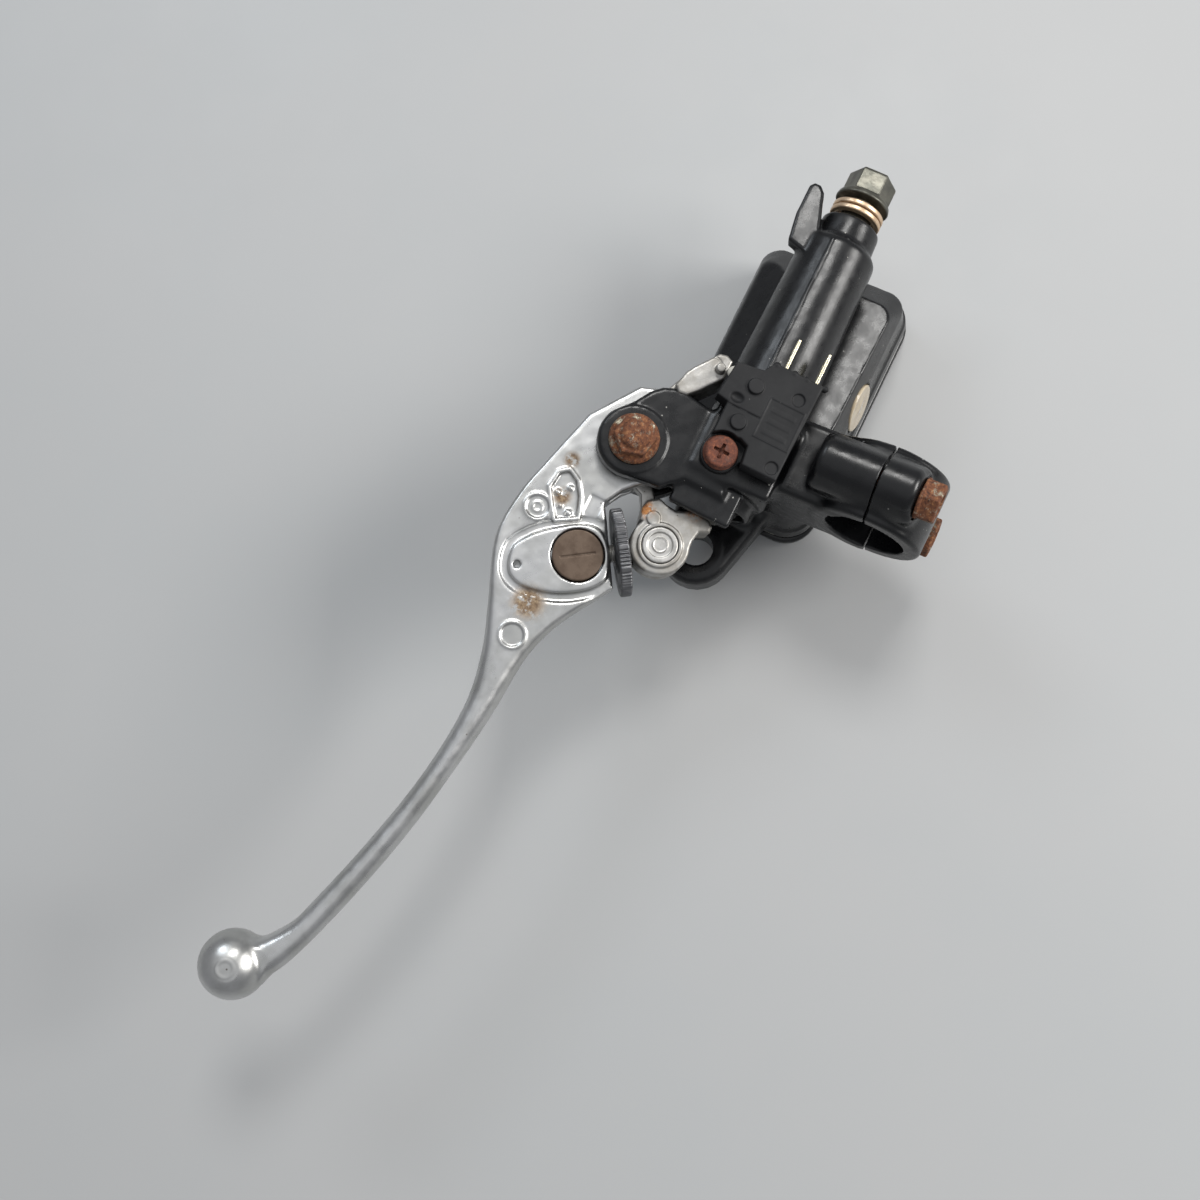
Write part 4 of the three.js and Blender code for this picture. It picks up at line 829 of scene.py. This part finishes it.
switchTab = [
    (17, 20.4), (19.8, 17.6), (25.4, 13.2), (30.9, 13.2), (31.7, 15.2), (31.2, 17.3), (24.9, 21.9),
    (22.6, 23.2), (18.2, 24.2), (16.6, 22.6)]


def knockerCasting():
    pinX, pinY = knocker["pin"]
    half, nose, eye = knocker["half"], knocker["noseHalf"], knocker["eyeHalf"]
    lugX, lugY, lugRadius, lugTop = knocker["lug"]
    pegX, pegY, pegRadius = knocker["peg"]
    halfRing = without(ring(27.6, 17.4, 11.8, 13, 1.9, 2.35, 0.1), block((20, 12, 11), (27.6, 22, 14), 0.1))
    steps = [
        add(plate(knockerWeb, -half, half, 0.5)),
        add(plate(knockerFace, -nose, nose, 0.8), 0.8),
        add(disc(pinX, pinY, -eye, eye, knocker["eyeStep"], edge=0.35), 0.3),
        add(plate(knockerFinger, -half, half, 0.7), 0.8),
        add(plate(switchTab, -half, knocker["tabTop"], 0.7), 0.6),
        add(disc(lugX, lugY, 8, lugTop, lugRadius, edge=0.4), 0.3),
        cut(halfRing, 0.1),
        add(disc(pegX, pegY, nose - 1, nose + 0.55, pegRadius, edge=0.3), 0.3),
        cut(disc(0, pivotY, -20, 20, lever["bushHole"])),
        cut(disc(pinX, pinY, -20, 20, knocker["pinHole"]), 0.2),
        cut(rod((pinX, pinY, 0), towardsPin(20), knocker["screwHole"])),
    ]
    return sculpt("knockerCasting", leverFrame, steps, 0.22, skin=0.04)


finishPiece(knockerCasting(), "knocker", "cast_aluminium", knockerAluminium, "knocker")

# Span adjuster: pin, barrel, screw and dial
adjuster = dict(
    pinRadius=4.9, pinHalf=6.25, barrelRadius=6.85, barrelHalf=6.45, screwRadius=2.5, dialAt=10.2,
    dialRadius=12.05, dialThickness=3.0, dialHub=4.6, teeth=72, toothDepth=0.42)
screwTowards = Vector(towardsPin(10)) - Vector(towardsPin(0))
screwTurn = screwTowards.to_track_quat("Z", "Y").to_matrix().to_4x4()
dialFrame = leverFrame @ Matrix.Translation(towardsPin(0)) @ screwTurn


def knockerPin():
    x, y = knocker["pin"]
    radius, half = adjuster["pinRadius"], adjuster["pinHalf"]
    steps = [add(disc(x, y, -half, half, radius, edge=0.5))]
    for low, high in ((half - 0.5, half + 1), (-half - 1, 0.5 - half)):
        steps.append(cut(ring(x, y, low, high, 2.1, 3.4, 0.25), 0.3))
    steps += [cut(disc(x, y, half - 0.15, half + 1, 1.9), 0.1),
              cut(rod(towardsPin(-2), towardsPin(20), adjuster["screwRadius"] + 0.3))]
    return sculpt("knockerPinTurned", leverFrame, steps, 0.14)


def adjusterBarrel():
    x, y = lever["barrel"]
    half, radius = adjuster["barrelHalf"], adjuster["barrelRadius"]
    ux, uy = screwTowards.x / 10, screwTowards.y / 10
    reach, mark = 4.7, half + 0.05
    line = rod((x - ux * reach, y - uy * reach, mark), (x + ux * reach, y + uy * reach, mark), 0.3, edge=0.1)
    steps = [add(disc(x, y, -half, half, radius, edge=0.35)), cut(line, 0.12),
             cut(rod((x, y, 0), towardsPin(0), adjuster["screwRadius"] + 0.5))]
    return sculpt("adjusterBarrelTurned", leverFrame, steps, 0.15, skin=0.012)


def adjusterScrew():
    radius = adjuster["screwRadius"]

    def thread(x, y, z):
        wave = np.abs(((z + np.arctan2(y, x) / (2 * math.pi) * 0.8) / 0.8) % 1.0 - 0.5) * 2
        return np.sqrt(x * x + y * y) - (radius - 0.32 * wave)

    room = (np.array([-radius, -radius, -1.5]), np.array([radius, radius, 21.3]))
    steps = [add((thread, *room)), keep(block((-9, -9, -1.4), (9, 9, 21.2), 0.3))]
    return sculpt("adjusterScrewThread", dialFrame, steps, 0.13)


def adjusterDial():
    middle, half = adjuster["dialAt"], adjuster["dialThickness"] / 2
    outer, teeth, depth = adjuster["dialRadius"], adjuster["teeth"], adjuster["toothDepth"]

    def knurled(x, y, z):
        r = np.sqrt(x * x + y * y)
        count = np.arctan2(y, x) / (2 * math.pi) * teeth
        groove = np.cos(count * 2 * math.pi) * 0.5 + 0.5
        gap = (np.floor(count + 0.5) % 6 == 0)
        wall = outer - depth * np.where(gap, 0.0, groove)
        return roundedMeet(r - wall, np.abs(z - middle) - half, 0.45)

    reach = np.array([outer, outer, 0])
    steps = [
        add((knurled, np.array([0, 0, middle - half]) - reach, np.array([0, 0, middle + half]) + reach)),
        cut(ring(0, 0, middle - half - 1, middle - half + 0.45, 5.6, 9.6, 0.4), 0.3),
        cut(ring(0, 0, middle + half - 0.45, middle + half + 1, 5.6, 9.6, 0.4), 0.3),
        add(disc(0, 0, middle, middle + half + 0.3, adjuster["dialHub"]), 0.4),
        cut(disc(0, 0, middle - 8, middle + 8, adjuster["screwRadius"] + 0.3))]
    return sculpt("adjusterDialWheel", dialFrame, steps, 0.16)


finishPiece(knockerPin(), "pin", "bright_steel", brightSteel, "knocker_pin")
finishPiece(adjusterBarrel(), "barrel", "bronze", barrelBronze, "adjuster_barrel")
finishPiece(adjusterScrew(), "dial", "bright_steel", brightSteel, "adjuster_screw")
finishPiece(adjusterDial(), "dial", "dial_steel", dialSteel, "adjuster_dial")

# Lever pivot and clamp bolts
pivot = dict(
    seat=12.2, flange=6.95, flangeThick=1.6, hex=10.0, nutTop=17.2, domeTop=18.7, boltHex=12, shank=4.0)
clampBolt = dict(seat=-10.8, washer=5.6, hex=10.0, headTop=-16.2, shankEnd=12.0, shank=3.0)


def pivotNut():
    seat, flange = pivot["seat"], pivot["flange"]
    steps = [
        add(disc(0, pivotY, seat, seat + pivot["flangeThick"], flange, flange - 0.5, edge=0.5)),
        add(hexBar(pivot["hex"], seat + 1.2, pivot["nutTop"], 0, pivotY, 0.5, 0.3), 0.6),
        add(disc(0, pivotY, seat + 4, pivot["domeTop"], 4.7, 3.4, edge=1.2), 0.5),
        cut(disc(0, pivotY, seat - 1, seat + 4.3, 4.3))]
    return sculpt("pivotNutDomed", leverFrame, steps, 0.13, skin=0.05)


def pivotBolt():
    seat = pivot["seat"]
    flip = leverFrame @ at(0, pivotY) @ Matrix.Rotation(math.pi, 4, "X")
    steps = [
        add(hexBar(pivot["boltHex"], seat, seat + 5, edge=0.5)),
        add(disc(0, 0, seat, seat + 0.8, 6.2, edge=0.3), 0.3),
        cut(disc(0, 0, seat + 4.2, seat + 6, 3.6, 4.4), 0.3),
        add(disc(0, 0, -seat - 4, seat + 0.5, pivot["shank"], edge=0.6), 0.3)]
    return sculpt("pivotBoltForged", flip, steps, 0.16, skin=0.03)


def clampBoltPiece(name, side):
    bolt = clampFrame @ at(boltX, 0, side * clamp["boltOffset"]) @ alongY
    seat, top = -clampBolt["seat"], -clampBolt["headTop"]
    steps = [
        add(disc(0, 0, seat, seat + 1.0, clampBolt["washer"], edge=0.35)),
        add(hexBar(clampBolt["hex"], seat + 0.8, top, edge=0.55, turn=0.2 * side), 0.5),
        cut(disc(0, 0, top - 0.7, top + 1, 3.2, 3.7), 0.3),
        add(disc(0, 0, -clampBolt["shankEnd"], seat + 0.5, clampBolt["shank"], edge=0.5), 0.2)]
    return sculpt(name, bolt, steps, 0.15, skin=0.05)


finishPiece(pivotNut(), "body", "rusty_steel", rustySteel, "pivot_nut")
finishPiece(pivotBolt(), "body", "rusty_steel", rustySteel, "pivot_bolt")
finishPiece(clampBoltPiece("clampBoltLower", 1), "body", "rusty_steel", rustySteel, "clamp_bolt_lower")
finishPiece(clampBoltPiece("clampBoltUpper", -1), "body", "rusty_steel", rustySteel, "clamp_bolt_upper")

# Brake light switch
switch = dict(
    bottom=12.7, top=18.8, start=5.8, end=34, half=10.8, screw=(6.1, 5.8), tab=15.0, terminalY=(0, -8.8),
    terminalLength=8.5, plunger=(27, 15.6, 1.7), posts=[(25.2, 5.2), (14.6, 5.3)],
    dimples=[(27.0, -6.4), (7.6, -7.7)], frame=(13.4, -9.3, 24.3, 0.2))


def switchBlock():
    bottom, top, start, end, half = (switch[k] for k in ("bottom", "top", "start", "end", "half"))
    x, y = switch["screw"]
    middle = (bottom + top) / 2
    outline = [(start - 0.8, -half + 0.6), (end - 0.6, -half), (end - 0.6, 3.2), (30.2, 5.2), (29.2, 12.4),
               (19, 13.4),
               (18.4, 10.1), (x + 3.6, y + 4.2), (x + 5, y - 3), (x + 4, y - 5.4), (start - 0.8, -0.3)]
    x0, y0, x1, y1 = switch["frame"]
    plungerX, plungerZ, plungerRadius = switch["plunger"]
    steps = [
        add(plate(outline, bottom, top, 0.45)),
        add(plate(link(x, y, 5.2, x + 6, y - 2, 6), bottom, switch["tab"], 0.4), 0.3),
        add(block((x0 - 0.35, y0 - 0.35, top - 1), (x1 + 0.35, y1 + 0.35, top + 0.16), 0.12), 0.1),
        cut(block((x0, y0, top - 0.02), (x1, y1, top + 1), 0.08), 0.1),
        cut(ball((20.4, 8.3, top + 0.6), 1.5, (1, 1.4, 1)), 0.3),
        cut(block((17.9, 0.6, top - 0.3), (18.3, 12.4, top + 1), 0.1), 0.1)]
    steps += [add(disc(px, py, top - 1, top + 0.95, 2.25, 2.1, edge=0.25), 0.25) for px,
              py in switch["posts"]]
    for px, py in switch["dimples"]:
        steps.append(cut(disc(px, py, top - 0.45, top + 1, 1.75), 0.15))
    for i in range(3):
        low = x0 + 1.4 + 3.1 * i
        steps.append(add(block((low, y0 + 1.3, top - 0.5), (low + 1.3, y1 - 1.3, top + 0.07), 0.06), 0.05))
    for terminal in switch["terminalY"]:
        for nub in (-2.6, 2.6):
            steps.append(add(ball((end - 0.9, terminal + nub, top - 0.9), 1.0), 0.4))
        steps.append(cut(block((end - 6.3, terminal - 0.7, middle - 2.6),
                               (end + 3, terminal + 0.7, middle + 2.4), 0.1)))
    steps += [
        cut(disc(x, y, 0, 30, 2.3)), cut(disc(x, y, switch["tab"], 30, 5.3, edge=0.1)),
        cut(rod((plungerX, 4, plungerZ), (plungerX, 20, plungerZ), plungerRadius + 0.3, edge=0.1))]
    return sculpt("switchMoulding", leverFrame, steps, 0.2, skin=0.012)


def switchTerminal(number, y):
    end, middle = switch["end"], (switch["bottom"] + switch["top"]) / 2 + 0.1
    tip = end + switch["terminalLength"]
    steps = [
        add(block((end - 6, y - 0.4, middle - 2.2), (tip, y + 0.4, middle + 2.15), 0.16)),
        cut(rod((tip - 3.2, y - 2, middle), (tip - 3.2, y + 2, middle), 0.75, edge=0.1), 0.1),
        cut(block((tip - 0.9, y - 2, middle + 1.6), (tip + 2, y + 2, middle + 4), 0.1), 0.4),
        cut(block((tip - 0.9, y - 2, middle - 4), (tip + 2, y + 2, middle - 1.6), 0.1), 0.4)]
    return sculpt(f"terminalBlade{number}", leverFrame, steps, 0.1)


def switchPlunger():
    x, z, radius = switch["plunger"]
    steps = [add(rod((x, 5.5, z), (x, 12.6, z), radius, edge=0.3)),
             add(ball((x, 12.0, z), 1.65, (1, 0.95, 1)), 0.2)]
    return sculpt("plungerMoulding", leverFrame, steps, 0.12)


finishPiece(switchBlock(), "body", "switch_plastic", switchPlastic, "brake_switch_housing")
for number, y in enumerate(switch["terminalY"], 1):
    finishPiece(switchTerminal(number, y), "body", "tinned_brass", terminalTin, f"switch_terminal_{number}")
finishPiece(switchPlunger(), "plunger", "pale_plastic", palePlastic, "switch_plunger")
switchX, switchY = switch["screw"]
switchScrew = crossHeadScrew("switchScrewHead", switchX, switchY, 15.3, 17.7, 5.2, 4.9, leverFrame)
finishPiece(switchScrew, "body", "rusty_steel", redRust, "switch_screw")

# Hose bolt and crush washers
hoseBolt = dict(seat=91.4, flange=8.0, flangeThick=1.9, hex=12.0, headTop=100.35, shank=4.8, shankEnd=72.5)


def banjoBolt():
    along = cylinderFrame @ alongX
    seat, top, flange = hoseBolt["seat"], hoseBolt["headTop"], hoseBolt["flange"]
    steps = [
        add(disc(0, 0, seat, seat + hoseBolt["flangeThick"], flange, flange - 0.5, edge=0.6)),
        add(hexBar(hoseBolt["hex"], seat + 1.5, top, edge=1.2, turn=0.05), 0.9),
        add(disc(0, 0, seat - 5.5, seat + 0.5, 4.5, edge=0.3), 0.5),
        add(disc(0, 0, hoseBolt["shankEnd"], seat - 4.8, hoseBolt["shank"], edge=0.6)),
        cut(disc(0, 0, hoseBolt["shankEnd"] - 1, seat - 3, 1.6)),
        cut(rod((0, -10, seat - 5), (0, 10, seat - 5), 1.3, edge=0.1), 0.1)]
    for i in range(8):
        z = seat - 6.4 - 1.25 * i
        steps.append(cut(ring(0, 0, z - 0.3, z + 0.3, 4.45, 6, 0.2), 0.2))
    return sculpt("hoseBoltForged", along, steps, 0.15, skin=0.015)


def crushWasher(name, nodeName):
    low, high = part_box(nodeName)
    start, end = (v.x * 1000 - origin.x for v in (low, high))
    steps = [add(ring(0, 0, start, end, 5.35, 7.45, 0.45)),
             cut(ring(0, 0, start - 1, start + 0.12, 6.1, 6.6, 0.05), 0.1)]
    return sculpt(name, cylinderFrame @ alongX, steps, 0.1)


finishPiece(banjoBolt(), "body", "dark_steel", oliveSteel, "banjo_bolt")
washerNodes = {"crushWasherInner": "crush_washer_inner", "crushWasherOuter": "crush_washer_outer"}
for name, nodeName in washerNodes.items():
    finishPiece(crushWasher(name, nodeName), "body", "copper", washerCopper, nodeName)

# Boot that closes the bore; on the real part it folds up as the piston goes in, here it has one fixed shape
boot = dict(back=-0.6, front=-6.4, lip=8.0, mouth=4.5)


def dustBoot():
    back, front = boot["back"], boot["front"]
    steps = [
        add(disc(0, 0, back - 2.1, back, boot["lip"], edge=0.5)),
        add(disc(0, 0, front + 1.9, back - 1, 6.3, 6.9, edge=0.5), 0.6),
        add(disc(0, 0, front, front + 2.2, 6.0, edge=0.8), 0.5),
        cut(disc(0, 0, front - 1, front + 9, boot["mouth"]), 0.2),
        cut(disc(0, 0, front + 1.2, back + 1, 5.2), 0.3)]
    return sculpt("dustBootRubber", cylinderFrame @ alongX, steps, 0.16)


rubberBoot = finishPiece(dustBoot(), "body", "rubber", softRubber, "dust_boot")
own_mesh(rubberBoot)

# Return spring in the bore
spring = dict(start=39.5, end=66.9, turns=7, coil=5.0, wire=0.6, sides=10, steps=28)


def returnSpring():
    points, faces = [], []
    count = spring["turns"] * spring["steps"]
    for i in range(count + 1):
        share = i / count
        angle = share * spring["turns"] * 2 * math.pi
        middle = Vector((spring["start"] + share * (spring["end"] - spring["start"]),
                         spring["coil"] * math.cos(angle), spring["coil"] * math.sin(angle)))
        outward = Vector((0, math.cos(angle), math.sin(angle)))
        for k in range(spring["sides"]):
            a = 2 * math.pi * k / spring["sides"]
            points.append(middle + (outward * math.cos(a) + Vector((1, 0, 0)) * math.sin(a)) * spring["wire"])
    sides = spring["sides"]
    for i in range(count):
        for k in range(sides):
            a, b = i * sides + k, i * sides + (k + 1) % sides
            faces.append((a, b, b + sides, a + sides))
    faces.append(tuple(range(sides))[::-1])
    faces.append(tuple(count * sides + k for k in range(sides)))
    return meshPiece("returnSpringWire", cylinderFrame, [tuple(p) for p in points], faces)


springWire = finishPiece(returnSpring(), "body", "bright_steel", brightSteel, "return_spring")
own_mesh(springWire)

# Parts kept from the frame, with their own finishes
keptFinishes = {
    "piston": oliveSteel, "primary_cup": softRubber, "secondary_cup": softRubber,
    "piston_circlip": brightSteel,
    "piston_washer": brightSteel, "pivot_bush": barrelBronze, "diaphragm": softRubber,
    "diaphragm_plate": palePlastic, "sight_glass_seal": softRubber, "reservoir_baffle": brightSteel}
for name, surface in keptFinishes.items():
    kept = frame["nodes"][name]
    kept.data.materials.clear()
    kept.data.materials.append(surface)
print("finishes given to the parts kept from the frame")

# Camera, floor and light
view = dict(
    place=(-77.835, -43.839, 332.14), forward=(0.10979, 0.17891, -0.97772),
    right=(0.44172, -0.88997, -0.11325), up=(0.89041, 0.41945, 0.17674), lens=37.5)
camera = bpy.data.objects.new("camera", bpy.data.cameras.new("camera"))
bpy.context.scene.collection.objects.link(camera)
camera.data.lens = view["lens"]
camera.data.sensor_width = 36
camera.data.clip_end = 20
turn = Matrix([view["right"], view["up"], [-c for c in view["forward"]]]).transposed().to_4x4()
camera.matrix_world = Matrix.Translation((Vector(view["place"]) + origin) * 0.001) @ turn
bpy.context.scene.camera = camera

floorLook = dict(
    colour=(0.42, 0.428, 0.43), patchColour=(0.43, 0.433, 0.433), patchSize=160, roughness=(0.42, 0.5),
    sheenSize=60, specular=0.3, bumpStrength=0.05)
bpy.ops.mesh.primitive_plane_add(size=6, location=(0, 0, 0))
floor = bpy.context.object
floor.name = "floor"
floor.data.materials.append(finish("paleFloor", floorLook))


def softLight(name, place, target, size, power, colour):
    light = bpy.data.objects.new(name, bpy.data.lights.new(name, "AREA"))
    light.data.shape = "RECTANGLE"
    light.data.size, light.data.size_y = size
    light.data.energy = power
    light.data.color = colour
    light.location = place
    aim = Vector(target) - Vector(place)
    light.rotation_euler = aim.to_track_quat("-Z", "Y").to_euler()
    bpy.context.scene.collection.objects.link(light)


lights = [
    ("pocketLight", (0.66, 0.13, 1.03), (0.08, 0, 0.03), (0.3, 0.3), 5.0, (1.0, 0.99, 0.97)),
    ("rightWindow", (0.50, -0.92, 0.72), (0.08, 0, 0.03), (0.6, 0.45), 12.5, (1.0, 0.985, 0.96)),
    ("leftWindow", (0.45, 0.80, 0.86), (0.08, 0, 0.03), (0.45, 0.3), 2.4, (0.86, 0.93, 1.0))]
for lamp in lights:
    softLight(*lamp)
world = bpy.data.worlds.new("paleRoom")
world.use_nodes = True
sky = world.node_tree
direction = sky.nodes.new("ShaderNodeTexCoord").outputs["Generated"]
height = node(sky, "ShaderNodeSeparateXYZ", Vector=direction).outputs["Z"]
shade = tint(sky, ramp(sky, height, 0.5, 1.0), (0.40, 0.41, 0.43), (0.95, 0.97, 1.0))
sky.links.new(shade, sky.nodes["Background"].inputs["Color"])
sky.nodes["Background"].inputs["Strength"].default_value = 0.68
bpy.context.scene.world = world
bpy.context.scene.view_settings.view_transform = "Standard"
